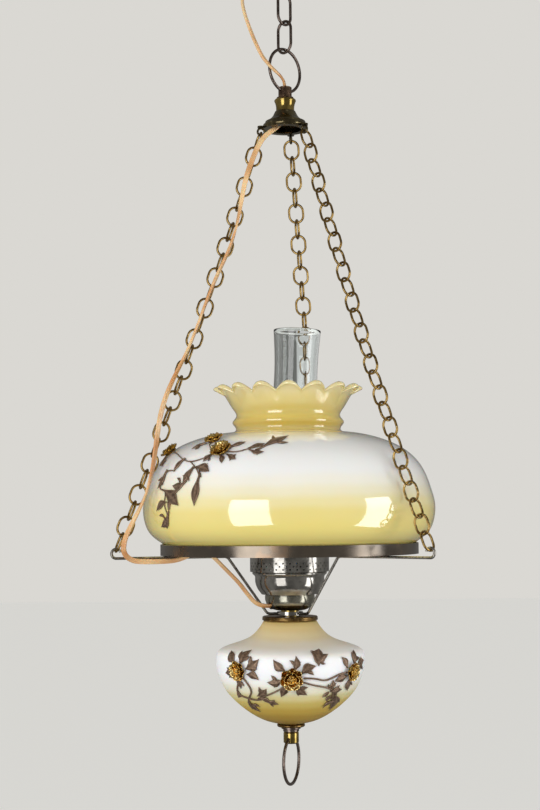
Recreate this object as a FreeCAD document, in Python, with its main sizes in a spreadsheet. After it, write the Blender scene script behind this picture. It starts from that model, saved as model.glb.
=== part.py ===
import FreeCAD
import Part
import Sketcher
import math
import os

# A hanging lamp with a painted glass shade, a clear chimney and a glass oil font, hung on three
# chains from a bell cap and a ring. Millimetres, +Z up, the origin at the middle of the ceiling
# face of the canopy, so every level below it is negative. The front of the lamp faces -Y.

# Driving sizes: each can be set by itself.
SIZES = {
    # Ceiling canopy, its bar and its loop
    "canopy_radius": 62.0,
    "canopy_depth": 30.0,
    "canopy_wall": 1.5,
    "canopy_boss_radius": 13.0,
    "bar_length": 104.0,
    "bar_width": 20.0,
    "bar_thickness": 2.5,
    "bar_screw_spacing": 88.9,
    "bar_screw_hole_radius": 2.6,
    "nipple_radius": 5.0,
    "nipple_bore": 3.4,
    "nut_radius": 8.5,
    "nut_height": 4.0,
    "loop_radius": 11.2,
    "loop_wire": 3.6,
    "loop_neck_radius": 6.4,
    "loop_neck_height": 7.0,
    "loop_reach": 30.7,
    # Ceiling chain
    "link_long": 36.5,
    "link_wide": 21.5,
    "link_wire": 3.0,
    "contact_gap": 0.3,
    # Hang ring
    "ring_radius": 22.6,
    "ring_wire": 3.1,
    "ring_rise": 21.2,
    "ring_bend": 4.0,
    "pin_clearance": 0.06,
    # Collar, neck and bell cap
    "collar_radius": 7.0,
    "collar_bore": 3.6,
    "collar_mouth": 1.2,
    "collar_above_pin": 3.4,
    "collar_height": 13.1,
    "collar_flange_radius": 8.8,
    "collar_flange_height": 2.0,
    "neck_top_radius": 11.3,
    "neck_bottom_radius": 9.7,
    "neck_height": 12.8,
    "cap_throat_radius": 10.6,
    "cap_radius": 23.4,
    "cap_height": 17.5,
    "cap_wall": 1.3,
    "plate_thickness": 1.8,
    "plate_bore": 16.4,
    "eye_circle_radius": 26.6,
    "eye_radius": 3.7,
    "eye_wire": 2.2,
    # The three lamp chains
    "chain_long": 22.0,
    "chain_wide": 17.6,
    "chain_wire": 2.4,
    "chain_gap": 0.2,
    "chain_sag": 4.5,
    "chain_drop": 430.5,
    # Arms
    "arm_wire": 2.8,
    "arm_eye_circle": 180.0,
    "arm_eye_radius": 4.7,
    "arm_bend_radius": 6.0,
    "arm_knee_radius": 66.0,
    "arm_foot_radius": 24.0,
    "arm_foot_drop": 58.5,
    "arm_collar_radius": 13.2,
    "arm_collar_height": 3.8,
    # Shade band
    "band_radius": 132.0,
    "band_wall": 1.6,
    "band_height": 10.9,
    "band_ledge_radius": 117.0,
    "band_ledge_drop": 7.9,
    # Shade
    "shade_radius": 149.5,
    "shade_height": 140.5,
    "shade_wall": 3.0,
    "waist_radius": 53.6,
    "crimp_height": 25.5,
    "crimp_reach": 21.4,
    # Chimney
    "chimney_base_radius": 36.6,
    "chimney_swell_radius": 41.5,
    "chimney_waist_radius": 22.3,
    "chimney_mouth_radius": 24.5,
    "chimney_height": 245.0,
    "chimney_wall": 1.7,
    # Burner
    "gallery_radius": 40.5,
    "gallery_height": 28.0,
    "gallery_wall": 1.0,
    "gallery_drop": 16.0,
    "gallery_bore": 19.2,
    "gallery_hole_radius": 0.9,
    "bead_radius": 38.2,
    "bowl_radius": 35.4,
    "bowl_foot_radius": 28.9,
    "bowl_height": 23.0,
    "cup_radius": 25.0,
    "cup_foot_radius": 14.0,
    "cup_height": 16.2,
    "burner_wall": 1.1,
    # Socket and bulb
    "socket_radius": 14.4,
    "socket_wall": 0.8,
    "socket_height": 34.0,
    "insulator_height": 9.0,
    "contact_radius": 4.0,
    "contact_height": 1.6,
    "bulb_base_radius": 13.2,
    "bulb_base_height": 25.0,
    "bulb_radius": 24.0,
    "bulb_glass_height": 62.0,
    # Font and what holds it
    "bushing_radius": 9.3,
    "bushing_height": 6.0,
    "font_cap_radius": 28.2,
    "font_cap_height": 4.2,
    "font_radius": 76.0,
    "font_height": 104.2,
    "font_wall": 4.0,
    "font_mouth_radius": 26.6,
    "font_hole_radius": 12.0,
    "rod_radius": 5.0,
    "rod_clearance": 0.5,
    # Finial and pull ring
    "washer_radius": 14.2,
    "washer_height": 3.3,
    "step_radius": 9.8,
    "step_height": 5.2,
    "knob_radius": 7.8,
    "knob_height": 11.5,
    "knob_pin_drop": 7.0,
    "pull_radius": 23.5,
    "pull_wire": 3.2,
    "pull_rise": 21.8,
    # Cords
    "cord_diameter": 4.4,
    "grommet_radius": 3.6,
    "grommet_height": 3.0,
    # Cast ornament
    "ornament_gap": 0.25,
    "leaf_thickness": 1.2,
    "stem_width": 1.8,
    "petal_radius": 3.9,
    "petal_height": 2.6,
    "flower_heart_radius": 2.5,
    "flower_heart_height": 3.8,
    # Small clearance between pieces that only touch
    "seat_gap": 0.1,
    "overrun": 2.0,
}

# Counts and angles
LOBES = 13
POLES_PER_LOBE = 8
ARC_SAMPLES = 12
GALLERY_HOLES = 36
GALLERY_ROWS = 3
ARM_ANGLES = {"rear": 77.0, "left": 197.0, "right": -43.0}
LINK_TURN = 45.0
EYE_END_ANGLE = 165.0
CHIMNEY_LEAN = 2.4
CORD_ENTRY_ANGLE = 212.25
CORD_ENTRY_SHARE = 0.69
PULL_RING_TURN = 70.0

document = FreeCAD.newDocument("hanging_lamp")
sheet = document.addObject("Spreadsheet::Sheet", "sizes")


class Size:
    """A length in millimetres with the sheet expression that gives it."""

    def __init__(self, value, text=None):
        self.value = float(value)
        self.text = text or "(%.6f)" % value

    def __add__(self, other):
        other = as_size(other)
        return Size(self.value + other.value, "(%s + %s)" % (self.text, other.text))

    def __sub__(self, other):
        other = as_size(other)
        return Size(self.value - other.value, "(%s - %s)" % (self.text, other.text))

    def __mul__(self, share):
        share = as_size(share)
        return Size(self.value * share.value, "(%s * %s)" % (self.text, share.text))

    def __truediv__(self, share):
        share = as_size(share)
        return Size(self.value / share.value, "(%s / %s)" % (self.text, share.text))

    def __neg__(self):
        return self * -1

    def __radd__(self, other):
        return as_size(other) + self

    def __rsub__(self, other):
        return as_size(other) - self

    def __rmul__(self, share):
        return self * share

    def __float__(self):
        return self.value


def as_size(item):
    return item if isinstance(item, Size) else Size(item)


class Namespace:
    pass


size = Namespace()
for row, (word, length) in enumerate(SIZES.items(), start=1):
    sheet.set("A%d" % row, word)
    sheet.set("B%d" % row, str(length))
    sheet.setAlias("B%d" % row, word)
    setattr(size, word, Size(length, "sizes." + word))
document.recompute()

nodes = {}


def keep(label, item):
    """Name an object of the document as a sub-part that is handed in."""
    item.Label = label
    nodes[label] = item
    return item


def place(item, x=0, y=0, z=0, axis=None, angle=0.0):
    """Set an object's placement, its lengths held by the sheet."""
    turn = FreeCAD.Rotation(axis or FreeCAD.Vector(0, 0, 1), angle)
    spot = FreeCAD.Vector(float(x), float(y), float(z))
    item.Placement = FreeCAD.Placement(spot, turn)
    for letter, length in (("x", x), ("y", y), ("z", z)):
        if isinstance(length, Size):
            item.setExpression("Placement.Base." + letter, length.text)
    return item


# Sketches: an outline is a list of points, (x, y) for a straight edge that ends there and
# (via x, via y, x, y) for an arc that passes the first pair and ends at the second.


def new_sketch(body, role, name):
    sketch = body.newObject("Sketcher::SketchObject", name)
    plane = next(item for item in body.Origin.OriginFeatures if item.Role == role)
    sketch.AttachmentSupport = (plane, "")
    sketch.MapMode = "FlatFace"
    return sketch


def hold_point(sketch, edge, end, x, y):
    """Hold one end of an edge at two sizes of the sheet."""
    for kind, length, axis in (("DistanceX", as_size(x), -2), ("DistanceY", as_size(y), -1)):
        if length.value == 0:
            sketch.addConstraint(Sketcher.Constraint("PointOnObject", edge, end, axis))
            continue
        number = sketch.addConstraint(Sketcher.Constraint(kind, edge, end, length.value))
        sketch.setExpression("Constraints[%d]" % number, length.text)


def draw(sketch, outline, closed=True):
    """Draw an outline with every point held by the sheet."""
    points = [(float(step[-2]), float(step[-1])) for step in outline]
    returns = math.dist(points[0], points[-1]) < 1e-6
    steps = list(range(1, len(outline))) + ([0] if closed and not returns else [])
    joins = []
    for number in steps:
        step = outline[number]
        begin = FreeCAD.Vector(*points[number - 1], 0)
        finish = FreeCAD.Vector(*points[number], 0)
        if len(step) == 4:
            via = FreeCAD.Vector(float(step[0]), float(step[1]), 0)
            edge = sketch.addGeometry(Part.Arc(begin, via, finish), False)
            mark = sketch.addGeometry(Part.Point(via), True)
            sketch.addConstraint(Sketcher.Constraint("PointOnObject", mark, 1, edge))
            hold_point(sketch, mark, 1, step[0], step[1])
        else:
            edge = sketch.addGeometry(Part.LineSegment(begin, finish), False)
        first = 1 if (sketch.getPoint(edge, 1) - begin).Length < 1e-6 else 2
        joins.append((edge, first, 3 - first, step[-2], step[-1]))
    for number, (edge, first, last, x, y) in enumerate(joins):
        hold_point(sketch, edge, last, x, y)
        if number:
            before = joins[number - 1]
            sketch.addConstraint(Sketcher.Constraint("Coincident", before[0], before[2], edge, first))
    if closed:
        end, start = joins[-1], joins[0]
        sketch.addConstraint(Sketcher.Constraint("Coincident", end[0], end[2], start[0], start[1]))
    else:
        hold_point(sketch, joins[0][0], joins[0][1], outline[0][-2], outline[0][-1])


def turned(label, outline, level=0, held=True):
    """A piece turned about the lamp's axis; heights in the outline count from level."""
    body = document.addObject("PartDesign::Body", label)
    profile = new_sketch(body, "XZ_Plane", label + "_profile")
    draw(profile, outline)
    spin = body.newObject("PartDesign::Revolution", label + "_turn")
    spin.Profile = profile
    spin.ReferenceAxis = (profile, ["V_Axis"])
    spin.Angle = 360
    if held:
        keep(label, body)
    return place(body, z=level)


def bent_wire(label, path, thickness, closed=False, held=True):
    """A round wire bent along a path in the XZ plane."""
    body = document.addObject("PartDesign::Body", label)
    route = new_sketch(body, "XZ_Plane", label + "_path")
    draw(route, path, closed)
    document.recompute()
    section = body.newObject("Sketcher::SketchObject", label + "_section")
    section.AttachmentSupport = (route, ["Edge1"])
    section.MapMode = "NormalToEdge"
    section.MapPathParameter = 0.0
    centre = FreeCAD.Vector(0, 0, 0)
    ring = section.addGeometry(Part.Circle(centre, FreeCAD.Vector(0, 0, 1), float(thickness) / 2))
    section.addConstraint(Sketcher.Constraint("Coincident", ring, 3, -1, 1))
    number = section.addConstraint(Sketcher.Constraint("Diameter", ring, float(thickness)))
    section.setExpression("Constraints[%d]" % number, thickness.text)
    document.recompute()
    pipe = body.newObject("PartDesign::AdditivePipe", label + "_wire")
    pipe.Profile = section
    pipe.Spine = (route, ["Edge%d" % (edge + 1) for edge in range(len(route.Shape.Edges))])
    if held:
        keep(label, body)
    return body


def computed(label, shape):
    """A piece whose shape is worked out from the sheet's sizes."""
    item = document.addObject("Part::Feature", label)
    item.Shape = shape
    return keep(label, item)


def polar(radius, degrees, z=0.0):
    turn = math.radians(degrees)
    return FreeCAD.Vector(radius * math.cos(turn), radius * math.sin(turn), z)


# Levels, from the ceiling down

link_run = size.link_long - size.link_wide
link_length = size.link_long - size.link_wire
link_step = link_length - size.link_wire - size.contact_gap
loop_bar_level = -(size.canopy_depth + size.loop_reach)
link_3_top = loop_bar_level + (size.loop_wire + size.link_wire) / 2 + size.contact_gap
link_2_top = link_3_top - link_step
link_1_top = link_2_top - link_step
link_1_bottom = link_1_top - link_length
ring_top = link_1_bottom + (size.link_wire + size.ring_wire) / 2 + size.contact_gap
pin_level = ring_top - size.ring_radius - size.ring_rise
collar_top = pin_level + size.collar_above_pin
collar_bottom = collar_top - size.collar_height
neck_bottom = collar_bottom - size.neck_height
cap_bottom = neck_bottom - size.cap_height
plate_bottom = cap_bottom - size.plate_thickness
eye_bar_level = plate_bottom - size.eye_radius * 2 - size.eye_wire / 4
chain_top = eye_bar_level + (size.eye_wire + size.chain_wire) / 2 + size.chain_gap
chain_bottom = chain_top - size.chain_drop - size.chain_wire / 2
arm_eye_top = chain_bottom + (size.arm_wire + size.chain_wire) / 2 + size.chain_gap
arm_level = arm_eye_top - size.arm_eye_radius * 2
band_bottom = arm_level + size.arm_wire / 2 + size.seat_gap
band_top = band_bottom + size.band_height
ledge_level = band_top - size.band_ledge_drop
shade_foot = ledge_level + size.contact_gap
waist_level = shade_foot + size.shade_height
gallery_bottom = arm_level - size.gallery_drop
bowl_bottom = gallery_bottom - size.bowl_height
cup_bottom = bowl_bottom - size.cup_height
arm_foot_level = arm_level - size.arm_foot_drop
bushing_bottom = cup_bottom - size.bushing_height
font_top = bushing_bottom - size.font_cap_height
font_bottom = font_top - size.font_height
washer_bottom = font_bottom - size.washer_height
step_bottom = washer_bottom - size.step_height
knob_pin_level = step_bottom - size.knob_pin_drop

# Ceiling pieces

canopy_rim = size.canopy_radius
canopy_thick = size.canopy_wall
turned("canopy", [
    (canopy_rim - canopy_thick, 0),
    (canopy_rim, 0),
    (canopy_rim, -canopy_thick),
    (canopy_rim * 0.86, size.canopy_depth * -0.7, size.canopy_boss_radius, -size.canopy_depth),
    (size.nipple_radius + size.seat_gap, -size.canopy_depth),
    (size.nipple_radius + size.seat_gap, canopy_thick - size.canopy_depth),
    (size.canopy_boss_radius, canopy_thick - size.canopy_depth),
    (canopy_rim * 0.86 - canopy_thick, size.canopy_depth * -0.7 + canopy_thick * 0.6,
     canopy_rim - canopy_thick, 0),
])

bar = document.addObject("PartDesign::Body", "crossbar")
bar_sketch = new_sketch(bar, "XY_Plane", "crossbar_outline")
half_length = size.bar_length / 2
half_width = size.bar_width / 2
draw(bar_sketch, [
    (half_length, -half_width),
    (half_length, half_width),
    (-half_length, half_width),
    (-half_length, -half_width),
])
hole_spots = [(size.bar_screw_spacing / 2, size.bar_screw_hole_radius),
              (size.bar_screw_spacing / -2, size.bar_screw_hole_radius),
              (None, size.nipple_radius + size.seat_gap)]
for spot, radius in hole_spots:
    middle = FreeCAD.Vector(float(spot) if spot else 0, 0, 0)
    hole = bar_sketch.addGeometry(Part.Circle(middle, FreeCAD.Vector(0, 0, 1), float(radius)))
    hold_point(bar_sketch, hole, 3, spot or 0, 0)
    number = bar_sketch.addConstraint(Sketcher.Constraint("Radius", hole, float(radius)))
    bar_sketch.setExpression("Constraints[%d]" % number, radius.text)
bar_pad = bar.newObject("PartDesign::Pad", "crossbar_plate")
bar_pad.Profile = bar_sketch
bar_pad.Reversed = True
bar_pad.setExpression("Length", size.bar_thickness.text)
keep("crossbar", bar)


def heading(degrees):
    """The level unit vector that points that way round the axis."""
    return polar(1, degrees)


def tube(label, outer, inner, top, height):
    """A plain tube or, with inner 0, a plain round bar, hanging down from top."""
    start = inner if isinstance(inner, Size) else 0
    return turned(label, [(start, 0), (outer, 0), (outer, -height), (start, -height)], top)


loop_neck_top = -(size.canopy_depth + size.seat_gap)
loop_ring_top = loop_bar_level + size.loop_radius * 2 + size.loop_wire / 2
tube("nipple", size.nipple_radius, size.nipple_bore, 0, size.canopy_depth + size.seat_gap)
tube("nipple_nut", size.nut_radius, size.nipple_radius + size.seat_gap, -size.bar_thickness, size.nut_height)

# Links of the ceiling chain


def link_path(long, wide, wire):
    """The middle line of an oval link that hangs from the origin."""
    side = (wide - wire) / 2
    low = -(long - wire) + side
    return [
        (side, -side),
        (0, 0, -side, -side),
        (-side, low),
        (0, wire - long, side, low),
    ]


for label, top, turn in (
    ("link_3", link_3_top, -LINK_TURN),
    ("link_2", link_2_top, LINK_TURN),
    ("link_1", link_1_top, -LINK_TURN),
):
    link = bent_wire(label, link_path(size.link_long, size.link_wide, size.link_wire), size.link_wire, True)
    place(link, z=top, angle=turn)

# The hang ring and the pull ring are open rings whose ends turn inward as pins


def pinned_ring(label, radius, rise, bend, wire, tip, upward):
    """A wire ring from one pin to the other; tip is the free end's distance from the axis."""
    sign = 1 if upward else -1
    across = math.sqrt((radius.value - bend.value) ** 2 - (rise.value - bend.value) ** 2)
    text = "sqrt((%s - %s) ^ 2 - (%s - %s) ^ 2)" % (radius.text, bend.text, rise.text, bend.text)
    start = Size(across, text)
    share = radius / (radius - bend)
    meet_x = start * share
    meet_z = (rise - (rise - bend) * share) * sign
    turn = math.asin(across / (radius.value - bend.value)) / 2
    via_x = start + bend * math.sin(turn)
    via_z = bend * (1 - math.cos(turn)) * sign
    top = (rise + radius) * sign
    return bent_wire(label, [
        (tip, 0),
        (start, 0),
        (via_x, via_z, meet_x, meet_z),
        (radius, rise * sign, 0, top),
        (-radius, rise * sign, -meet_x, meet_z),
        (-via_x, via_z, -start, 0),
        (-tip, 0),
    ], wire)


hang_ring = pinned_ring(
    "hang_ring", size.ring_radius, size.ring_rise, size.ring_bend, size.ring_wire,
    size.collar_bore + size.contact_gap, True)
place(hang_ring, z=pin_level, angle=LINK_TURN)
pull_ring = pinned_ring(
    "pull_ring", size.pull_radius, size.pull_rise, size.ring_bend, size.pull_wire,
    size.knob_radius * 0.4, False)
place(pull_ring, z=knob_pin_level, angle=PULL_RING_TURN)


def cross_hole(body, label, wire, level, reach):
    """A hole across a turned piece for the pins of a ring."""
    sketch = new_sketch(body, "YZ_Plane", label + "_hole")
    hole = sketch.addGeometry(
        Part.Circle(FreeCAD.Vector(0, float(level), 0), FreeCAD.Vector(0, 0, 1), float(wire) / 2))
    hold_point(sketch, hole, 3, 0, level)
    radius = wire / 2 + size.pin_clearance
    number = sketch.addConstraint(Sketcher.Constraint("Radius", hole, float(radius)))
    sketch.setExpression("Constraints[%d]" % number, radius.text)
    cut = body.newObject("PartDesign::Pocket", label + "_bore")
    cut.Profile = sketch
    cut.Midplane = True
    cut.setExpression("Length", (reach * 2 + size.overrun).text)
    body.Tip = cut


# Collar, neck, bell cap and hanger plate

collar = turned("ring_collar", [
    (size.collar_bore, -size.collar_mouth),
    (size.collar_bore + size.collar_mouth, 0),
    (size.collar_radius * 0.86, 0),
    (size.collar_radius * 0.97, size.collar_radius * -0.04, size.collar_radius, size.collar_radius * -0.18),
    (size.collar_radius, size.collar_flange_height - size.collar_height),
    (size.collar_flange_radius, size.collar_flange_height - size.collar_height),
    (size.collar_flange_radius, -size.collar_height),
    (size.collar_bore, -size.collar_height),
], collar_top)
cross_hole(collar, "ring_collar", size.ring_wire, -size.collar_above_pin, size.collar_flange_radius)
place(collar, z=collar_top, angle=LINK_TURN)

turned("collar_neck", [
    (size.collar_bore, 0),
    (size.neck_top_radius * 0.93, 0),
    (size.neck_top_radius, size.neck_height * -0.1, size.neck_top_radius * 0.96, size.neck_height * -0.22),
    (size.neck_bottom_radius * 0.99, size.neck_height * -0.6, size.neck_bottom_radius, -size.neck_height),
    (size.collar_bore, -size.neck_height),
], collar_bottom)

cap_thick = size.cap_wall
turned("bell_cap", [
    (size.collar_bore, 0),
    (size.cap_throat_radius, 0),
    (size.cap_throat_radius, size.cap_height * -0.12),
    (size.cap_radius * 0.56, size.cap_height * -0.46, size.cap_radius * 0.82, size.cap_height * -0.6),
    (size.cap_radius * 0.9, size.cap_height * -0.62),
    (size.cap_radius * 0.9, size.cap_height * -0.75),
    (size.cap_radius, size.cap_height * -0.83),
    (size.cap_radius, -size.cap_height),
    (size.cap_radius - cap_thick, -size.cap_height),
    (size.cap_radius - cap_thick, size.cap_height * -0.87),
    (size.cap_radius * 0.9 - cap_thick, size.cap_height * -0.78),
    (size.cap_radius * 0.82 - cap_thick * 0.6, size.cap_height * -0.6 - cap_thick),
    (size.cap_radius * 0.56 - cap_thick, size.cap_height * -0.46 - cap_thick,
     size.cap_throat_radius - cap_thick, size.cap_height * -0.12 - cap_thick),
    (size.collar_bore, size.cap_height * -0.12 - cap_thick),
], neck_bottom)


def hanger_plate():
    """The plate under the cap, open in the middle, with three tabs and their eyes."""
    radius = float(size.cap_radius)
    thick = float(size.plate_thickness)
    low = float(plate_bottom)
    tab_radius = float(size.eye_radius)
    plate = Part.makeCylinder(radius, thick, FreeCAD.Vector(0, 0, low))
    extras = []
    for angle in ARM_ANGLES.values():
        extras.append(Part.makeCylinder(tab_radius, thick, polar(float(size.eye_circle_radius), angle, low)))
        spot = polar(float(size.eye_circle_radius), angle, float(eye_bar_level + size.eye_radius))
        side = heading(angle + 90)
        extras.append(Part.makeTorus(float(size.eye_radius), float(size.eye_wire) / 2, spot, side))
    plate = plate.multiFuse(extras)
    spare = float(size.overrun)
    bore = Part.makeCylinder(float(size.plate_bore), thick + spare, FreeCAD.Vector(0, 0, low - spare / 2))
    return plate.cut(bore).removeSplitter()


computed("hanger_plate", hanger_plate())

# Lamp chains: oval links along a slightly slack line from a cap eye to an arm eye


def torus_link(long, wide, wire):
    """One oval link about the origin, its length along Z, in the XZ plane."""
    side = (wide - wire) / 2
    straight = long - wide
    parts = []
    for sign in (-1, 1):
        rail = FreeCAD.Vector(sign * side, 0, -straight / 2)
        parts.append(Part.makeCylinder(wire / 2, straight, rail))
        middle = FreeCAD.Vector(0, 0, sign * straight / 2)
        ring = Part.makeTorus(side, wire / 2, middle, FreeCAD.Vector(0, 1, 0))
        half = Part.makeBox(
            wide * 2, wide * 2, wide, FreeCAD.Vector(-wide, -wide, middle.z if sign > 0 else middle.z - wide))
        parts.append(ring.common(half))
    return parts[0].multiFuse(parts[1:]).removeSplitter()


chain_link = torus_link(float(size.chain_long), float(size.chain_wide), float(size.chain_wire))
link_middle_line = float(size.chain_long - size.chain_wire)


def chain(label, angle):
    """One lamp chain as separate links, each turned a quarter from the last."""
    top = FreeCAD.Vector(float(size.eye_circle_radius), 0, float(chain_top))
    bottom = FreeCAD.Vector(float(size.arm_eye_circle), 0, float(chain_bottom))
    run = (bottom - top).Length - link_middle_line
    step_limit = link_middle_line - float(size.chain_wire) - float(size.chain_gap) / 2
    count = 1 + math.ceil(run / step_limit)
    along = (bottom - top).normalize()
    slack_way = FreeCAD.Vector(along.z, 0, -along.x)
    links = []
    for number in range(count):
        share = number / (count - 1)
        distance = link_middle_line / 2 + run * share
        dip = 4 * float(size.chain_sag) * share * (1 - share)
        slope = 4 * float(size.chain_sag) * (1 - 2 * share) / run
        spot = top + along * distance + slack_way * dip
        heading = along + slack_way * slope
        lean = math.degrees(math.atan2(heading.x, -heading.z))
        copy = chain_link.copy()
        copy.Placement = FreeCAD.Placement(
            spot,
            FreeCAD.Rotation(FreeCAD.Vector(0, 1, 0), -lean).multiply(
                FreeCAD.Rotation(FreeCAD.Vector(0, 0, 1), 90.0 * ((number + 1) % 2))))
        links.append(copy)
    group = Part.makeCompound(links)
    group.rotate(FreeCAD.Vector(0, 0, 0), FreeCAD.Vector(0, 0, 1), angle)
    return computed(label, group)


for word, angle in ARM_ANGLES.items():
    chain("chain_" + word, angle)

# Arms: wire rods that run in under the band and bend down to the collar below the burner


def corner(before, here, after, radius):
    """Points for a rounded corner of a path: where it starts, its middle and its end."""
    a, b, c = (FreeCAD.Vector(float(spot[0]), float(spot[1]), 0) for spot in (before, here, after))
    back = (a - b).normalize()
    ahead = (c - b).normalize()
    half = back.getAngle(ahead) / 2
    cut = 1 / math.tan(half)
    bisector = (back + ahead).normalize()
    reach = 1 / math.sin(half) - 1

    def shift(way, share):
        return (here[0] + radius * (way.x * share), here[1] + radius * (way.y * share))

    return shift(back, cut), shift(bisector, reach), shift(ahead, cut)


foot_start = (size.arm_collar_radius + size.seat_gap, -size.arm_foot_drop)
foot = (size.arm_foot_radius, -size.arm_foot_drop)
knee = (size.arm_knee_radius, 0)
eye_foot = (size.arm_eye_circle, 0)
foot_bend = corner(foot_start, foot, knee, size.arm_bend_radius)
knee_bend = corner(foot, knee, eye_foot, size.arm_bend_radius)
eye_end = math.radians(EYE_END_ANGLE)
eye_middle = (eye_end - math.pi / 2) / 2
for word, angle in ARM_ANGLES.items():
    arm = bent_wire("arm_" + word, [
        foot_start,
        foot_bend[0],
        (*foot_bend[1], *foot_bend[2]),
        knee_bend[0],
        (*knee_bend[1], *knee_bend[2]),
        eye_foot,
        (size.arm_eye_circle + size.arm_eye_radius * math.cos(eye_middle),
         size.arm_eye_radius * (1 + math.sin(eye_middle)),
         size.arm_eye_circle + size.arm_eye_radius * math.cos(eye_end),
         size.arm_eye_radius * (1 + math.sin(eye_end))),
    ], size.arm_wire)
    place(arm, z=arm_level, angle=angle)

turned("arm_collar", [
    (size.bushing_radius + size.seat_gap, size.arm_collar_height / 2),
    (size.arm_collar_radius, size.arm_collar_height / 2),
    (size.arm_collar_radius, size.arm_collar_height / -2),
    (size.bushing_radius + size.seat_gap, size.arm_collar_height / -2),
], arm_foot_level)

turned("shade_band", [
    (size.band_radius - size.band_wall, 0),
    (size.band_radius - size.band_wall / 2, size.band_wall * 0.2, size.band_radius, 0),
    (size.band_radius, -size.band_height),
    (size.band_radius - size.band_wall, -size.band_height),
    (size.band_radius - size.band_wall, -size.band_ledge_drop - size.band_wall),
    (size.band_ledge_radius, -size.band_ledge_drop - size.band_wall),
    (size.band_ledge_radius, -size.band_ledge_drop),
    (size.band_radius - size.band_wall, -size.band_ledge_drop),
], band_top)

# Shade: one skin through the outline, with lobes at the crimped rim. Each row gives a point of
# the outer face as shares of the shade's radius and of its height from foot to waist.

SHADE_SHARES = (
    (0.8500, 0.010), (0.8540, 0.030), (0.8630, 0.054), (0.8840, 0.073), (0.9150, 0.096), (0.9605, 0.146),
    (0.9900, 0.222), (1.0000, 0.300), (0.9950, 0.365), (0.9779, 0.432), (0.9385, 0.552),
    (0.8669, 0.670), (0.7525, 0.762), (0.6087, 0.823), (0.4800, 0.853), (0.3950, 0.864),
)
# From the foot of the neck to the waist, as shares of the waist's radius and of the same height
NECK_SHARES = ((1.012, 0.880), (1.018, 0.905), (1.074, 0.938), (1.018, 0.970), (1.000, 1.000))
# The rim at the middle of a lobe and between two lobes: shares of the rim's reach and height
LOBE_SHARES = ((0.18, 0.24), (0.38, 0.50), (0.55, 0.78), (0.72, 0.93), (0.90, 0.90), (1.00, 0.72))
NOTCH_SHARES = ((0.14, 0.22), (0.25, 0.45), (0.34, 0.64), (0.39, 0.74), (0.42, 0.81), (0.44, 0.86))


def shade_row(lobe):
    """Radius and height of the shade's outer face, foot to rim; lobe is 1 on a lobe, 0 between."""
    rows = [(share * float(size.shade_radius), level * float(size.shade_height))
            for share, level in SHADE_SHARES]
    rows += [(share * float(size.waist_radius), level * float(size.shade_height))
             for share, level in NECK_SHARES]
    for (far, high), (near, low) in zip(LOBE_SHARES, NOTCH_SHARES):
        reach = near + (far - near) * lobe
        height = low + (high - low) * lobe
        rows.append((float(size.waist_radius) + reach * float(size.crimp_reach),
                     float(size.shade_height) + height * float(size.crimp_height)))
    return rows


def offset_row(rows, distance):
    """The same row of points moved square to itself, inward when distance is positive."""
    moved = []
    for number, (radius, height) in enumerate(rows):
        before = rows[max(number - 1, 0)]
        after = rows[min(number + 1, len(rows) - 1)]
        dr, dz = after[0] - before[0], after[1] - before[1]
        length = math.hypot(dr, dz)
        moved.append((radius - distance * dz / length, height + distance * dr / length))
    return moved


def closed_row(lobe):
    """Outer face, rim edge, inner face and foot as one closed row of points."""
    outer = shade_row(lobe)
    inner = offset_row(outer, float(size.shade_wall))
    tip = ((outer[-1][0] + inner[-1][0]) / 2, (outer[-1][1] + inner[-1][1]) / 2)
    dr, dz = outer[-1][0] - outer[-2][0], outer[-1][1] - outer[-2][1]
    reach = float(size.shade_wall) * 0.4 / math.hypot(dr, dz)
    edge = (tip[0] + dr * reach, tip[1] + dz * reach)
    foot_ring = ((outer[0][0] + inner[0][0]) / 2, 0.0)
    return outer + [edge] + inner[::-1] + [foot_ring]


def row_marks():
    """One parameter for each point of the closed row, alike for every row round the shade."""
    guide = closed_row(0.5)
    marks = [0.0]
    for (r0, z0), (r1, z1) in zip(guide, guide[1:] + guide[:1]):
        marks.append(marks[-1] + math.hypot(r1 - r0, z1 - z0) ** 0.5)
    return marks


def row_curve(lobe, degrees):
    """The smooth closed curve through a row, standing at an angle round the axis."""
    points = [polar(radius, degrees, height) for radius, height in closed_row(lobe)]
    curve = Part.BSplineCurve()
    curve.interpolate(Points=points, PeriodicFlag=True, Parameters=row_marks())
    return curve


def shade_solid():
    """The shade as a closed skin, periodic round the axis and along the closed row."""
    poles = []
    around = LOBES * POLES_PER_LOBE
    for number in range(around):
        turn = 2 * math.pi * number / around
        lobe = ((1 + math.cos(LOBES * turn)) / 2) ** 0.7
        curve = row_curve(lobe, math.degrees(turn) - 90)
        poles.append(curve.getPoles())
    knots = curve.getKnots()
    counts = curve.getMultiplicities()
    skin = Part.BSplineSurface()
    skin.buildFromPolesMultsKnots(
        poles, [1] * (around + 1), counts, list(range(around + 1)), knots, True, True, 3, 3)
    return Part.Solid(Part.Shell([skin.toShape()]))


shade = computed("shade_glass", shade_solid())
place(shade, z=shade_foot)

# Chimney: a thin glass tube that swells low down and stands a little out of true

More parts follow.
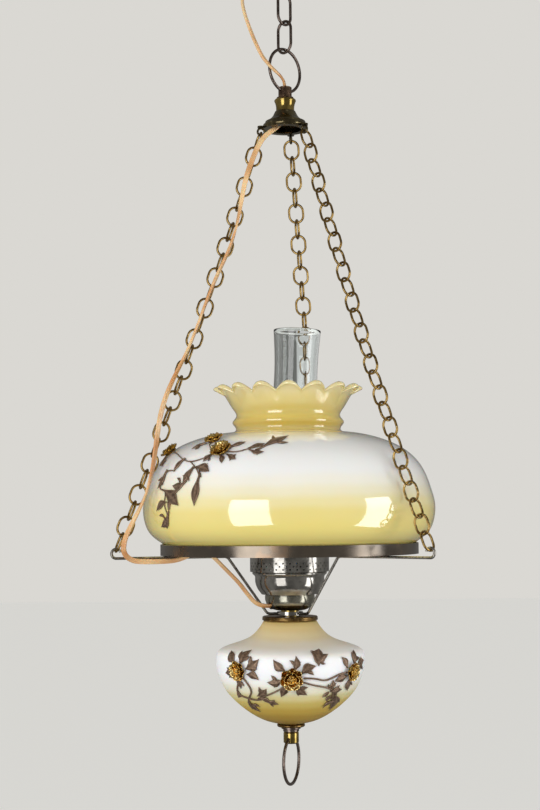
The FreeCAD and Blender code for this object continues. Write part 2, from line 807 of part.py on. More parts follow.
lean = math.radians(CHIMNEY_LEAN)
glass_thick = size.chimney_wall
tall = size.chimney_height
base = size.chimney_base_radius
chimney_seat = gallery_bottom + size.gallery_wall + base * math.sin(lean) + size.contact_gap
taper = (size.chimney_swell_radius + size.chimney_waist_radius * 3) / 4
chimney = turned("chimney_glass", [
    (base - glass_thick, 0),
    (base, 0),
    (base, tall * 0.1),
    (size.chimney_swell_radius, tall * 0.24, base * 0.9, tall * 0.42),
    (taper * 0.96, tall * 0.6, size.chimney_waist_radius, tall * 0.8),
    (size.chimney_mouth_radius, tall),
    (size.chimney_mouth_radius - glass_thick, tall),
    (size.chimney_waist_radius - glass_thick, tall * 0.8),
    (taper * 0.96 - glass_thick, tall * 0.6, base * 0.9 - glass_thick, tall * 0.42),
    (size.chimney_swell_radius - glass_thick, tall * 0.24, base - glass_thick, tall * 0.1),
])
place(chimney, z=chimney_seat, axis=FreeCAD.Vector(0, 1, 0), angle=-CHIMNEY_LEAN)

# Burner: gallery with rows of holes, bowl and cup, each resting on the next

gallery_thick = size.gallery_wall
gallery_blank = turned("gallery_blank", [
    (size.gallery_bore, 0),
    (size.gallery_radius - gallery_thick, 0),
    (size.gallery_radius, 0),
    (size.gallery_radius, size.gallery_height),
    (size.gallery_radius - gallery_thick, size.gallery_height),
    (size.gallery_radius - gallery_thick, gallery_thick),
    (size.gallery_bore, gallery_thick),
], gallery_bottom, held=False)
document.recompute()


def gallery_holes():
    """Rows of small round holes through the gallery's wall, each row half a step on from the last."""
    drills = []
    reach = float(size.gallery_wall + size.overrun)
    for row in range(GALLERY_ROWS):
        level = float(gallery_bottom + size.gallery_hole_radius * (3.2 + 3.4 * row))
        for number in range(GALLERY_HOLES):
            angle = 360.0 * (number + 0.5 * (row % 2)) / GALLERY_HOLES
            spot = polar(float(size.gallery_radius - size.gallery_wall - size.overrun / 2), angle, level)
            drills.append(Part.makeCylinder(float(size.gallery_hole_radius), reach, spot, heading(angle)))
    return Part.makeCompound(drills)


computed("burner_gallery", gallery_blank.Shape.cut(gallery_holes()))

burner_thick = size.burner_wall
bowl_high = size.bowl_height
turned("burner_bowl", [
    (size.gallery_bore, 0),
    (size.bead_radius * 0.97, 0),
    (size.bead_radius, bowl_high * -0.05, size.bead_radius * 0.985, bowl_high * -0.12),
    (size.bowl_radius * 1.02, bowl_high * -0.17),
    (size.bowl_radius, bowl_high * -0.24),
    (size.bowl_radius * 0.97, bowl_high * -0.62, size.bowl_foot_radius * 1.06, bowl_high * -0.9),
    (size.bowl_foot_radius, -bowl_high),
    (size.socket_radius + size.seat_gap, -bowl_high),
    (size.socket_radius + size.seat_gap, burner_thick - bowl_high),
    (size.bowl_foot_radius * 1.06 - burner_thick, burner_thick - bowl_high),
    (size.bowl_radius * 0.97 - burner_thick, bowl_high * -0.62,
     size.bowl_radius - burner_thick, bowl_high * -0.24),
    (size.bead_radius * 0.93 - burner_thick, -burner_thick),
    (size.gallery_bore, -burner_thick),
], gallery_bottom)

cup_high = size.cup_height
cup_blank = turned("cup_blank", [
    (size.rod_radius + size.rod_clearance, burner_thick - cup_high),
    (size.cup_foot_radius, burner_thick - cup_high),
    (size.cup_foot_radius + (size.cup_radius - size.cup_foot_radius) * 0.72, cup_high * -0.62,
     size.cup_radius - burner_thick, 0),
    (size.cup_radius, 0),
    (size.cup_foot_radius + (size.cup_radius - size.cup_foot_radius) * 0.74 + burner_thick, cup_high * -0.66,
     size.cup_foot_radius, -cup_high),
    (size.rod_radius + size.rod_clearance, -cup_high),
], bowl_bottom, held=False)
document.recompute()
entry_level = float(bowl_bottom - size.cup_height * CORD_ENTRY_SHARE)


def entry_bar(radius, near, far):
    """A round bar out through the cup's side where the cord comes in."""
    spot = polar(float(near), CORD_ENTRY_ANGLE, entry_level)
    return Part.makeCylinder(float(radius), float(far - near), spot, heading(CORD_ENTRY_ANGLE))


grommet_in = size.cup_radius - size.grommet_height * 1.6
grommet_out = grommet_in + size.grommet_height
entry_hole = entry_bar(
    size.grommet_radius + size.seat_gap, grommet_in - size.overrun, size.cup_radius + size.overrun)
computed("burner_cup", cup_blank.Shape.cut(entry_hole))
grommet_bore = size.cord_diameter / 2 + size.contact_gap
computed("cord_grommet", entry_bar(size.grommet_radius, grommet_in, grommet_out).cut(
    entry_bar(grommet_bore, grommet_in - size.overrun, grommet_out + size.overrun)))

socket_bottom = bowl_bottom - size.insulator_height - size.burner_wall
turned("socket_insulator", [
    (0, 0),
    (size.socket_radius - size.socket_wall - size.seat_gap, 0),
    (size.socket_radius - size.socket_wall - size.seat_gap, size.insulator_height),
    (0, size.insulator_height),
], socket_bottom)
turned("socket_shell", [
    (size.socket_radius - size.socket_wall, 0),
    (size.socket_radius, 0),
    (size.socket_radius, size.socket_height),
    (size.socket_radius - size.socket_wall, size.socket_height),
], socket_bottom)
contact_level = socket_bottom + size.insulator_height + size.seat_gap
turned("socket_contact", [
    (0, 0),
    (size.contact_radius, 0),
    (size.contact_radius, size.contact_height),
    (0, size.contact_height),
], contact_level)

bulb_level = contact_level + size.contact_height + size.contact_gap
turned("bulb_base", [
    (0, 0),
    (size.contact_radius, 0),
    (size.bulb_base_radius, size.bulb_base_height * 0.2),
    (size.bulb_base_radius, size.bulb_base_height),
    (0, size.bulb_base_height),
], bulb_level)
turned("bulb_glass", [
    (0, 0),
    (size.bulb_base_radius - size.seat_gap, 0),
    (size.bulb_radius * 0.64, size.bulb_glass_height * 0.22,
     size.bulb_radius, size.bulb_glass_height - size.bulb_radius),
    (size.bulb_radius * 0.76, size.bulb_glass_height - size.bulb_radius * 0.34,
     size.contact_radius * 0.5, size.bulb_glass_height),
    (0, size.bulb_glass_height),
], bulb_level + size.bulb_base_height)

# Bushing, font cap, font and the rod that holds them

turned("font_bushing", [
    (size.rod_radius + size.rod_clearance, 0),
    (size.bushing_radius, 0),
    (size.bushing_radius, -size.bushing_height),
    (size.rod_radius + size.rod_clearance, -size.bushing_height),
], cup_bottom)

cap_edge = size.font_cap_radius
turned("font_cap", [
    (size.rod_radius + size.rod_clearance, 0),
    (cap_edge - size.font_cap_height * 0.4, 0),
    (cap_edge, size.font_cap_height * -0.2, cap_edge, size.font_cap_height * -0.5),
    (cap_edge, size.font_cap_height * -0.9, cap_edge - size.font_cap_height * 0.4, -size.font_cap_height),
    (size.rod_radius + size.rod_clearance, -size.font_cap_height),
], bushing_bottom)


def font_spot(share, level, inset):
    """A point of the font's outline, moved in by the glass's thickness for the inner face."""
    radius = (size.font_radius - inset) * share
    height = -(inset + (size.font_height - inset * 2) * level)
    return (radius, height)


# Shares of the font's radius and of its height from the top, at the ends and middles of its arcs
FONT_SHARES = (
    ((0.398, 0.055), (0.520, 0.150)),
    ((0.690, 0.208), (0.868, 0.251)),
    ((0.976, 0.300), (1.000, 0.385)),
    ((0.970, 0.512), (0.882, 0.655)),
    ((0.740, 0.775), (0.520, 0.900)),
    ((0.330, 0.968), (0.145, 1.000)),
)
outline = [(size.font_hole_radius, 0), (size.font_mouth_radius, 0)]
for middle, end in FONT_SHARES:
    outline.append((*font_spot(*middle, 0), *font_spot(*end, 0)))
outline.append((size.rod_radius + size.rod_clearance, -size.font_height))
outline.append((size.rod_radius + size.rod_clearance, size.font_wall - size.font_height))
inner_ends = [(0.350, 0.0)] + [end for middle, end in FONT_SHARES]
outline.append(font_spot(*inner_ends[-1], size.font_wall))
for number in range(len(FONT_SHARES) - 1, -1, -1):
    middle = FONT_SHARES[number][0]
    outline.append((*font_spot(*middle, size.font_wall), *font_spot(*inner_ends[number], size.font_wall)))
outline.append((size.font_hole_radius, -size.font_wall))
turned("font_glass", outline, font_top)

rod_top = cup_bottom + size.burner_wall + size.nut_height
rod_height = rod_top - step_bottom
turned("font_rod", [
    (0, 0),
    (size.rod_radius, 0),
    (size.rod_radius, -rod_height),
    (0, -rod_height),
], rod_top)
turned("rod_nut", [
    (size.rod_radius + size.seat_gap, 0),
    (size.nut_radius, 0),
    (size.nut_radius, -size.nut_height),
    (size.rod_radius + size.seat_gap, -size.nut_height),
], rod_top)

turned("font_washer", [
    (size.rod_radius + size.seat_gap, 0),
    (size.washer_radius * 0.92, 0),
    (size.washer_radius, size.washer_height * -0.4, size.washer_radius * 0.86, -size.washer_height),
    (size.rod_radius + size.seat_gap, -size.washer_height),
], font_bottom)
turned("finial_step", [
    (size.rod_radius + size.seat_gap, 0),
    (size.step_radius, 0),
    (size.step_radius, size.step_height * -0.35),
    (size.knob_radius * 1.04, size.step_height * -0.5),
    (size.knob_radius * 1.04, size.step_height * -0.85),
    (size.knob_radius * 0.94, -size.step_height),
    (size.rod_radius + size.seat_gap, -size.step_height),
], washer_bottom)
knob = turned("finial_knob", [
    (0, 0),
    (size.knob_radius * 0.92, 0),
    (size.knob_radius, size.knob_height * -0.08),
    (size.knob_radius, size.knob_height * -0.82),
    (size.knob_radius * 0.94, size.knob_height * -0.95, size.knob_radius * 0.7, -size.knob_height),
    (0, -size.knob_height),
], step_bottom)
cross_hole(knob, "finial_knob", size.pull_wire, -size.knob_pin_drop, size.knob_radius)
place(knob, z=step_bottom, angle=PULL_RING_TURN)

# Canopy loop: a ring on a drilled stem


def canopy_loop():
    """The ring, its neck under the canopy and the wireway drilled down into the ring."""
    top = float(loop_neck_top)
    ring_middle = FreeCAD.Vector(0, 0, float(loop_bar_level + size.loop_radius))
    ring = Part.makeTorus(
        float(size.loop_radius), float(size.loop_wire) / 2, ring_middle, FreeCAD.Vector(0, 1, 0))
    depth = top - float(loop_ring_top) + float(size.loop_wire) * 0.6
    neck = Part.makeCylinder(float(size.loop_neck_radius), depth, FreeCAD.Vector(0, 0, top - depth))
    bore = Part.makeCylinder(
        float(size.nipple_bore), depth + float(size.overrun) * 2,
        FreeCAD.Vector(0, 0, top - depth - float(size.overrun)))
    body = ring.fuse(neck).cut(bore).removeSplitter()
    body.rotate(FreeCAD.Vector(0, 0, 0), FreeCAD.Vector(0, 0, 1), LINK_TURN)
    return body


computed("canopy_loop", canopy_loop())

# Cords: plain round tubes along points chosen by hand, straight runs joined by tangent arcs

UPPER_CORD = (
    (0.0, 0.0, -189.6), (-0.4, -2.6, -184.0), (-3.6, -9.4, -179.6), (-9.4, -17.0, -176.0),
    (-16.2, -21.8, -171.0), (-23.4, -25.2, -162.8), (-28.8, -25.4, -151.6), (-33.6, -23.4, -139.4),
    (-38.0, -20.4, -126.4), (-42.0, -16.6, -112.4), (-44.4, -11.6, -98.4), (-43.0, -4.0, -84.6),
    (-37.6, 4.0, -72.4), (-28.4, 9.8, -62.2), (-17.4, 11.2, -54.0), (-7.8, 7.0, -48.4), (-1.6, 1.2, -44.6),
)
LAMP_CORD = (
    (0.0, 0.0, -217.8), (-0.8, -1.2, -223.4), (-4.6, -5.2, -229.4), (-9.4, -10.4, -236.0),
    (-13.0, -14.8, -244.0), (-17.6, -19.4, -252.4), (-24.6, -24.8, -261.6),
    (-33.4, -30.2, -272.6), (-39.6, -34.0, -286.4), (-43.4, -36.2, -302.0), (-46.2, -37.2, -318.4),
    (-49.6, -38.2, -336.0), (-54.0, -39.4, -354.0), (-60.6, -41.2, -371.4), (-68.6, -43.0, -388.4),
    (-76.2, -44.6, -405.8), (-83.0, -46.2, -423.8), (-89.6, -48.0, -442.2), (-96.6, -50.2, -460.8),
    (-104.6, -52.4, -479.2), (-113.6, -54.6, -496.4), (-121.4, -56.6, -514.0), (-127.2, -58.2, -533.0),
    (-130.4, -59.4, -553.0), (-132.8, -60.6, -573.2), (-135.8, -62.2, -592.8), (-140.4, -64.0, -610.6),
    (-147.2, -66.0, -627.4), (-155.6, -67.6, -643.2), (-162.8, -67.6, -658.6), (-164.2, -64.2, -671.8),
    (-156.2, -58.4, -680.6), (-142.0, -52.2, -684.0), (-126.0, -46.6, -683.4), (-108.6, -41.0, -681.0),
    (-92.0, -35.4, -679.8), (-76.6, -30.6, -682.4), (-62.6, -27.0, -690.6), (-51.4, -24.6, -702.0),
    (-43.4, -23.2, -714.0), (-35.6, -21.2, -723.6), (-27.0, -17.1, -727.2), (-18.8, -11.9, -727.2),
)


def cord(label, points):
    """A round tube along the points; prints its smallest radius and checks its volume."""
    spots = [FreeCAD.Vector(*point) for point in points]
    edges = []
    start = spots[0]
    radii = []
    for before, here, after in zip(spots, spots[1:], spots[2:]):
        back = before - here
        ahead = after - here
        shorter = min(back.Length, ahead.Length)
        cut = 0.45 * shorter
        turn = math.pi - back.getAngle(ahead)
        radii.append(cut / math.tan(turn / 2))
        back.normalize()
        ahead.normalize()
        arc_start = here + back * cut
        arc_end = here + ahead * cut
        middle = (back + ahead).normalize()
        sag = radii[-1] * (1 / math.cos(turn / 2) - 1)
        edges.append(Part.LineSegment(start, arc_start).toShape())
        edges.append(Part.Arc(arc_start, here + middle * sag, arc_end).toShape())
        start = arc_end
    edges.append(Part.LineSegment(start, spots[-1]).toShape())
    path = Part.Wire(edges)
    radius = float(size.cord_diameter) / 2
    way = spots[1] - spots[0]
    section = Part.Wire(Part.makeCircle(radius, spots[0], way))
    solid = path.makePipeShell([section], True, False, 2)
    expected = math.pi * radius ** 2 * path.Length
    print("%s: length %.1f, smallest radius %.1f, volume share %.4f"
          % (label, path.Length, min(radii), solid.Volume / expected))
    return computed(label, solid)


cord("upper_cord", UPPER_CORD)
cord("lamp_cord", LAMP_CORD)


# Ornament: cast leaves and stems that follow the glass, and flowers of domed petals. Places are
# the angle round from the front, in degrees, and the share of the height of the glass; a leaf has
# its stalk, its tip and its width as a share of its length.

SHADE_FLOWERS = ((-76.0, 0.716, 1.0), (-43.5, 0.782, 0.95), (-31.5, 0.700, 1.1))
SHADE_LEAVES = (
    (-17.4, 0.712, -11.5, 0.740, 0.45), (-11.0, 0.728, -0.5, 0.796, 0.34), (-17.0, 0.700, -11.0, 0.682, 0.40),
    (-31.0, 0.660, -28.5, 0.610, 0.55), (-35.0, 0.672, -38.0, 0.624, 0.50), (-27.0, 0.668, -22.5, 0.636, 0.50),
    (-27.0, 0.724, -21.5, 0.756, 0.45), (-46.5, 0.752, -51.5, 0.720, 0.45),
    (-40.5, 0.580, -33.0, 0.556, 0.50), (-37.5, 0.505, -37.4, 0.325, 0.36), (-42.5, 0.575, -45.5, 0.480, 0.42),
    (-45.0, 0.490, -51.5, 0.468, 0.50), (-50.5, 0.640, -53.8, 0.565, 0.48), (-60.0, 0.560, -62.5, 0.450, 0.44),
    (-55.6, 0.425, -45.5, 0.330, 0.42), (-53.8, 0.345, -60.0, 0.296, 0.45), (-52.4, 0.275, -58.5, 0.188, 0.40),
    (-72.0, 0.672, -68.0, 0.610, 0.50),
)
SHADE_STEMS = (
    ((-31.5, 0.700), (-23.0, 0.690), (-17.4, 0.712), (-11.0, 0.728)),
    ((-31.5, 0.700), (-38.0, 0.655), (-45.8, 0.632), (-50.6, 0.646), (-60.0, 0.690), (-72.0, 0.716)),
    ((-43.5, 0.782), (-41.0, 0.740), (-34.0, 0.705)),
    ((-45.8, 0.632), (-40.5, 0.583), (-37.5, 0.520), (-37.4, 0.440)),
    ((-42.0, 0.577), (-44.5, 0.488), (-50.5, 0.471)),
    ((-53.3, 0.570), (-60.0, 0.555), (-60.5, 0.455), (-55.6, 0.425), (-53.8, 0.320), (-52.4, 0.271),
     (-55.0, 0.231)),
)
FONT_FLOWERS = ((-42.6, 0.432, 1.0), (0.0, 0.490, 1.15), (52.1, 0.458, 0.95))
FONT_LEAVES = (
    (-48.0, 0.345, -56.0, 0.268, 0.45), (-40.0, 0.345, -35.5, 0.252, 0.45), (-34.0, 0.395, -24.5, 0.318, 0.45),
    (-33.5, 0.470, -25.0, 0.510, 0.45), (-43.0, 0.520, -44.0, 0.606, 0.45), (-51.0, 0.455, -59.0, 0.468, 0.45),
    (-6.0, 0.405, -13.5, 0.318, 0.42), (2.0, 0.395, 3.2, 0.290, 0.42), (-9.0, 0.510, -19.0, 0.526, 0.42),
    (-4.0, 0.575, -9.0, 0.668, 0.42), (5.0, 0.575, 13.0, 0.650, 0.42), (9.0, 0.440, 18.5, 0.380, 0.45),
    (19.5, 0.360, 15.5, 0.262, 0.40), (20.5, 0.350, 27.0, 0.308, 0.42), (20.5, 0.340, 25.5, 0.242, 0.40),
    (45.0, 0.400, 40.5, 0.316, 0.42), (56.0, 0.380, 60.0, 0.275, 0.42), (52.0, 0.545, 53.5, 0.645, 0.42),
    (45.0, 0.500, 35.0, 0.535, 0.42), (62.0, 0.430, 72.0, 0.372, 0.42),
    (-42.5, 0.745, -37.0, 0.832, 0.36), (-26.0, 0.690, -19.5, 0.735, 0.42), (-21.0, 0.720, -12.0, 0.740, 0.36),
    (-28.0, 0.650, -20.0, 0.588, 0.42), (-50.5, 0.640, -55.0, 0.700, 0.42),
    (33.0, 0.600, 33.0, 0.515, 0.42), (35.5, 0.630, 45.5, 0.620, 0.42), (31.0, 0.640, 27.0, 0.680, 0.42),
    (35.0, 0.680, 34.0, 0.730, 0.42), (41.0, 0.700, 47.5, 0.830, 0.36),
)
FONT_STEMS = (
    ((-40.0, 0.480), (-34.5, 0.627), (-42.3, 0.721), (-41.0, 0.780)),
    ((-46.0, 0.560), (-50.0, 0.660), (-42.0, 0.690), (-32.2, 0.704), (-25.0, 0.690)),
    ((-30.0, 0.690), (-22.4, 0.660), (-9.2, 0.592), (-3.0, 0.540)),
    ((9.0, 0.490), (19.0, 0.500), (25.2, 0.516), (39.5, 0.467), (46.0, 0.460)),
    ((7.0, 0.520), (18.0, 0.560), (30.5, 0.595), (35.6, 0.627), (38.0, 0.690), (44.0, 0.740)),
)


def font_row():
    """Radius and height of the font's outer face, sampled from its outline, bottom to top."""
    spots = [(float(size.font_mouth_radius), 0.0)]
    for middle, end in FONT_SHARES:
        start = FreeCAD.Vector(*spots[-1], 0)
        via = FreeCAD.Vector(*(float(part) for part in font_spot(*middle, 0)), 0)
        finish = FreeCAD.Vector(*(float(part) for part in font_spot(*end, 0)), 0)
        curve = Part.Arc(start, via, finish)
        walk = curve.toShape().discretize(ARC_SAMPLES)
        if (walk[0] - start).Length > (walk[-1] - start).Length:
            walk.reverse()
        spots += [(point.x, point.y) for point in walk[1:]]
    return spots[::-1]


def row_at(rows, height):
    """Radius of a row at a height, and the outward normal there as (radial, upward)."""
    for (r0, z0), (r1, z1) in zip(rows, rows[1:]):
        if z0 <= height <= z1:
            share = (height - z0) / (z1 - z0)
            length = math.hypot(r1 - r0, z1 - z0)
            return r0 + (r1 - r0) * share, ((z1 - z0) / length, (r0 - r1) / length)
    return rows[-1][0], (1.0, 0.0)


def surface_spot(rows, height, angle, lift=0.0):
    """A point on the glass and the normal there; angle is measured round from the front."""
    radius, (out, up) = row_at(rows, height)
    normal = polar(out, angle - 90, up)
    return polar(radius, angle - 90, height) + normal * lift, normal


def turned_shell(rows, inner, outer):
    """The space between two offsets of a glass face, turned round the axis."""
    near = offset_row(rows, -inner)
    far = offset_row(rows, -outer)[::-1]
    corners = [FreeCAD.Vector(max(r, float(size.seat_gap)), 0, z) for r, z in near + far]
    outline = Part.makePolygon(corners + corners[:1])
    return Part.Face(outline).revolve(FreeCAD.Vector(0, 0, 0), FreeCAD.Vector(0, 0, 1), 360)


def prism(points, normal, reach):
    """A prism square to the glass from an outline of edges in its tangent plane."""
    face = Part.Face(Part.Wire(points))
    face.translate(normal * -reach)
    return face.extrude(normal * (2 * reach))


def leaf_prism(rows, scale, leaf):
    """A pointed leaf from stalk to tip."""
    angle, share, tip_angle, tip_share, width = leaf
    stalk, stalk_normal = surface_spot(rows, scale(share), angle)
    tip, tip_normal = surface_spot(rows, scale(tip_share), tip_angle)
    normal = (stalk_normal + tip_normal).normalize()
    along = tip - stalk
    along -= normal * along.dot(normal)
    across = normal.cross(along).normalize() * (along.Length * width / 2)
    belly = stalk + along * 0.45
    end = stalk + along
    edges = [Part.Arc(stalk, belly + across, end).toShape(), Part.Arc(end, belly - across, stalk).toShape()]
    return prism(edges, normal, float(size.petal_height) * 2)


def stem_prisms(rows, scale, stem):
    """Narrow straight strips, one for each run of a stem."""
    strips = []
    half = float(size.stem_width) / 2
    for (a0, s0), (a1, s1) in zip(stem, stem[1:]):
        start, normal_0 = surface_spot(rows, scale(s0), a0)
        end, normal_1 = surface_spot(rows, scale(s1), a1)
        normal = (normal_0 + normal_1).normalize()
        along = (end - start).normalize()
        side = normal.cross(along).normalize() * half
        reach = along * (half * 0.6)
        corners = [start - reach + side, end + reach + side, end + reach - side, start - reach - side]
        flat = [corner - normal * (corner - start).dot(normal) for corner in corners]
        strips.append(prism([Part.makeLine(flat[n], flat[(n + 1) % 4]) for n in range(4)],
                            normal, float(size.petal_height) * 3))
    return strips


def leafage(label, rows, scale, leaves, stems, base):
    """Leaves and stems cut from a thin shell that lies just off the glass."""
    gap = float(size.ornament_gap)
    shell = turned_shell(rows, gap, gap + float(size.leaf_thickness))
    prisms = [leaf_prism(rows, scale, leaf) for leaf in leaves]
    for stem in stems:
        prisms += stem_prisms(rows, scale, stem)
    pieces = prisms[0].multiFuse(prisms[1:])
    item = computed(label, shell.common(pieces).removeSplitter())
    return place(item, z=base)


def petal_cap(radius, height, spot, normal):
    """A low dome on a flat base."""
    ball = (radius ** 2 + height ** 2) / (2 * height)
    low = math.degrees(math.asin((ball - height) / ball))
    return Part.makeSphere(ball, spot - normal * (ball - height), normal, low, 90, 360)


def flowers(label, rows, scale, places, base):
    """Five domed petals round a taller heart."""
    blooms = []
    for angle, share, grow in places:
        radius = float(size.petal_radius) * grow
        height = float(size.petal_height) * grow
        spot, normal = surface_spot(rows, scale(share), angle, float(size.ornament_gap + size.leaf_thickness))
        spot += normal * float(size.ornament_gap)
        side = normal.cross(FreeCAD.Vector(0, 0, 1)).normalize()
        up = normal.cross(side)
        heart = petal_cap(
            float(size.flower_heart_radius) * grow, float(size.flower_heart_height) * grow, spot, normal)
        domes = []
        for number in range(5):
            turn = 2 * math.pi * (number + 0.25) / 5
            middle = spot + (side * math.cos(turn) + up * math.sin(turn)) * (radius * 1.12)
            domes.append(petal_cap(radius, height, middle, normal))
        blooms.append(heart.multiFuse(domes).removeSplitter())
    item = computed(label, Part.makeCompound(blooms))
    return place(item, z=base)


def shade_scale(share):
    return share * float(size.shade_height)


def font_scale(share):
    return -share * float(size.font_height)


shade_curve = row_curve(0.0, 0.0)
shade_marks = row_marks()[:len(SHADE_SHARES)]
shade_rows = []
for mark, following in zip(shade_marks, shade_marks[1:]):
    for number in range(ARC_SAMPLES // 3):
        point = shade_curve.value(mark + (following - mark) * number * 3 / ARC_SAMPLES)
        shade_rows.append((point.x, point.z))
leafage("shade_leaves", shade_rows, shade_scale, SHADE_LEAVES, SHADE_STEMS, shade_foot)
flowers("shade_flowers", shade_rows, shade_scale, SHADE_FLOWERS, shade_foot)
font_rows = font_row()
leafage("font_leaves", font_rows, font_scale, FONT_LEAVES, FONT_STEMS, font_top)
flowers("font_flowers", font_rows, font_scale, FONT_FLOWERS, font_top)

# Check every object, then write each sub-part

document.recompute()
for item in document.Objects:
    if "Invalid" in item.State or "Error" in item.State:
        raise RuntimeError("%s did not build: %s" % (item.Label, item.State))
os.makedirs("parts", exist_ok=True)
for label, item in nodes.items():
    shape = item.Shape
    if shape.isNull() or not shape.isValid():
        raise RuntimeError("%s has no valid shape" % label)
for label, item in nodes.items():
    item.Shape.exportStep("parts/%s.step" % label)
print("%d sub-parts written" % len(nodes))
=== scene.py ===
# %% [markdown]
# # A hanging lamp with a painted shade
# The lamp hangs from a ceiling cap on a short chain. Three long chains carry a wire cradle with
# an opal glass shade, a chimney, a burner and a glass font below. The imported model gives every
# solid part in its place, in metres. This lesson gives each part its finish and builds the
# forms that a plain solid can't show: painted glass, cast flowers, leaves, a spun cap and a
# twin cord.

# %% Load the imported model
import math

import bpy
import numpy as np
from mathutils import Matrix


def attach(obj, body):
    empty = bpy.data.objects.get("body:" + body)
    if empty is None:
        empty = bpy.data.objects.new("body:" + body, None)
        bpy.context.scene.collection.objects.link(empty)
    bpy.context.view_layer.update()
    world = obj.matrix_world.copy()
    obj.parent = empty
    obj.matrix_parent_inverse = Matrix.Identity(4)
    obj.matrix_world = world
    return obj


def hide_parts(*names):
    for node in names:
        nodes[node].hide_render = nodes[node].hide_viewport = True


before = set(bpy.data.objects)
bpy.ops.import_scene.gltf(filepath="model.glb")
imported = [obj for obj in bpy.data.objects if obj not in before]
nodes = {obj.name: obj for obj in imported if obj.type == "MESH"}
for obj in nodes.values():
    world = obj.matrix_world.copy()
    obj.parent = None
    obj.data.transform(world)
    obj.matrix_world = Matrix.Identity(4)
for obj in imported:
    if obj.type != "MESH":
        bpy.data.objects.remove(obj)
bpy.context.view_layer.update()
MM = 0.001
print("parts of the packed model:", len(nodes))

# %% [markdown]
# ## Camera, room and light
# The camera stands a metre and a half from the lamp, a little above the shade's band, and looks
# up by four degrees. Two soft boxes, one left in front and one at the right, leave the two
# window-shaped highlights that the glaze shows. Three more, which no surface mirrors, light the
# left, the back and the font's shoulder. A pale room comes from the world's colour, brighter
# from above. In reflections it is dimmer, and darkest between its two sides, as with black flags
# in a studio, so that polished metal has something to show.

# %% Camera
CAMERA_PLACE = (-0.0186, -1.545, -0.636)
CAMERA_PITCH = math.radians(4.22)
CAMERA_ROLL = math.radians(-0.5)
SENSOR_WIDTH = 36.0
# The eye's distance from the picture and the picture's longer side, in pixels
EYE_PIXELS = 1500
LONG_SIDE_PIXELS = 810
camera_data = bpy.data.cameras.new("camera")
camera_data.sensor_width = SENSOR_WIDTH
camera_data.lens = SENSOR_WIDTH * EYE_PIXELS / LONG_SIDE_PIXELS
camera = bpy.data.objects.new("camera", camera_data)
camera.matrix_world = (
    Matrix.Translation(CAMERA_PLACE)
    @ Matrix.Rotation(math.pi / 2 + CAMERA_PITCH, 4, "X")
    @ Matrix.Rotation(CAMERA_ROLL, 4, "Z")
)
scene = bpy.context.scene
scene.collection.objects.link(camera)
scene.camera = camera
scene.view_settings.view_transform = "Standard"

# %% Colours and nodes


def linear(code):
    """A hex colour as linear light: c / 12.92 below 0.04045, else ((c + 0.055) / 1.055) ^ 2.4."""
    value = np.array([int(code[i:i + 2], 16) for i in (1, 3, 5)]) / 255
    curve = np.where(value <= 0.04045, value / 12.92, ((value + 0.055) / 1.055) ** 2.4)
    return (*curve.tolist(), 1.0)


def add(tree, kind, inputs=None, links=None, **settings):
    """Add one node, set its properties and sockets, and link (node, output) pairs into it."""
    node = tree.nodes.new("ShaderNode" + kind)
    for key, value in settings.items():
        setattr(node, key, value)
    for key, value in (inputs or {}).items():
        node.inputs[key].default_value = value
    for key, (source, output) in (links or {}).items():
        tree.links.new(source.outputs[output], node.inputs[key])
    return node


def spread(tree, source, old=(0.0, 1.0), new=(0.0, 1.0), **settings):
    """Take a (node, output) pair from the old range to the new one."""
    ends = {"From Min": old[0], "From Max": old[1], "To Min": new[0], "To Max": new[1]}
    return add(tree, "MapRange", ends, {"Value": source}, **settings)


def put(node, **sockets):
    """Set a node's sockets, with _ for a space; a (node, output) pair is linked."""
    for key, value in sockets.items():
        socket = node.inputs[key.replace("_", " ")]
        if isinstance(value, tuple) and len(value) == 2:
            node.id_data.links.new(value[0].outputs[value[1]], socket)
        else:
            socket.default_value = value


# %% Room
ROOM = "#DAD8D3"
# Light of the room from below and from above, and the height of its direction where it changes
FILL = (0.40, 0.92)
FILL_SPAN = (-0.1, 0.9)
# The mirrored room between its sides and at them, and how far aside it changes
FLAGS = (0.24, 0.34)
FLAG_SPAN = (0.15, 0.85)


def seen_rays(tree):
    """One for camera, glossy and transmission rays, which see the room at full strength."""
    path = add(tree, "LightPath")
    either = add(tree, "Math", links={0: (path, "Is Camera Ray"), 1: (path, "Is Glossy Ray")},
                 operation="MAXIMUM")
    return add(tree, "Math", links={0: (either, 0), 1: (path, "Is Transmission Ray")},
               operation="MAXIMUM")


world = bpy.data.worlds.new("room")
scene.world = world
world.use_nodes = True
tree = world.node_tree
tree.nodes.clear()
way = add(tree, "SeparateXYZ", links={"Vector": (add(tree, "TexCoord"), "Generated")})
fill = spread(tree, (way, "Z"), FILL_SPAN, FILL)
seen = spread(tree, (seen_rays(tree), 0))
put(seen, To_Min=(fill, 0))
aside = add(tree, "Math", links={0: (way, "X")}, operation="ABSOLUTE")
flags = spread(tree, (aside, 0), FLAG_SPAN, FLAGS, interpolation_type="SMOOTHSTEP")
path = add(tree, "LightPath")
strength = add(tree, "Mix", links={0: (path, "Is Glossy Ray"), 2: (seen, 0), 3: (flags, 0)},
               data_type="FLOAT")
room = add(tree, "Background", {"Color": linear(ROOM)}, {"Strength": (strength, 0)})
add(tree, "OutputWorld", links={"Surface": (room, 0)})

# %% Soft boxes
AIM = (0.0, 0.0, -0.60)
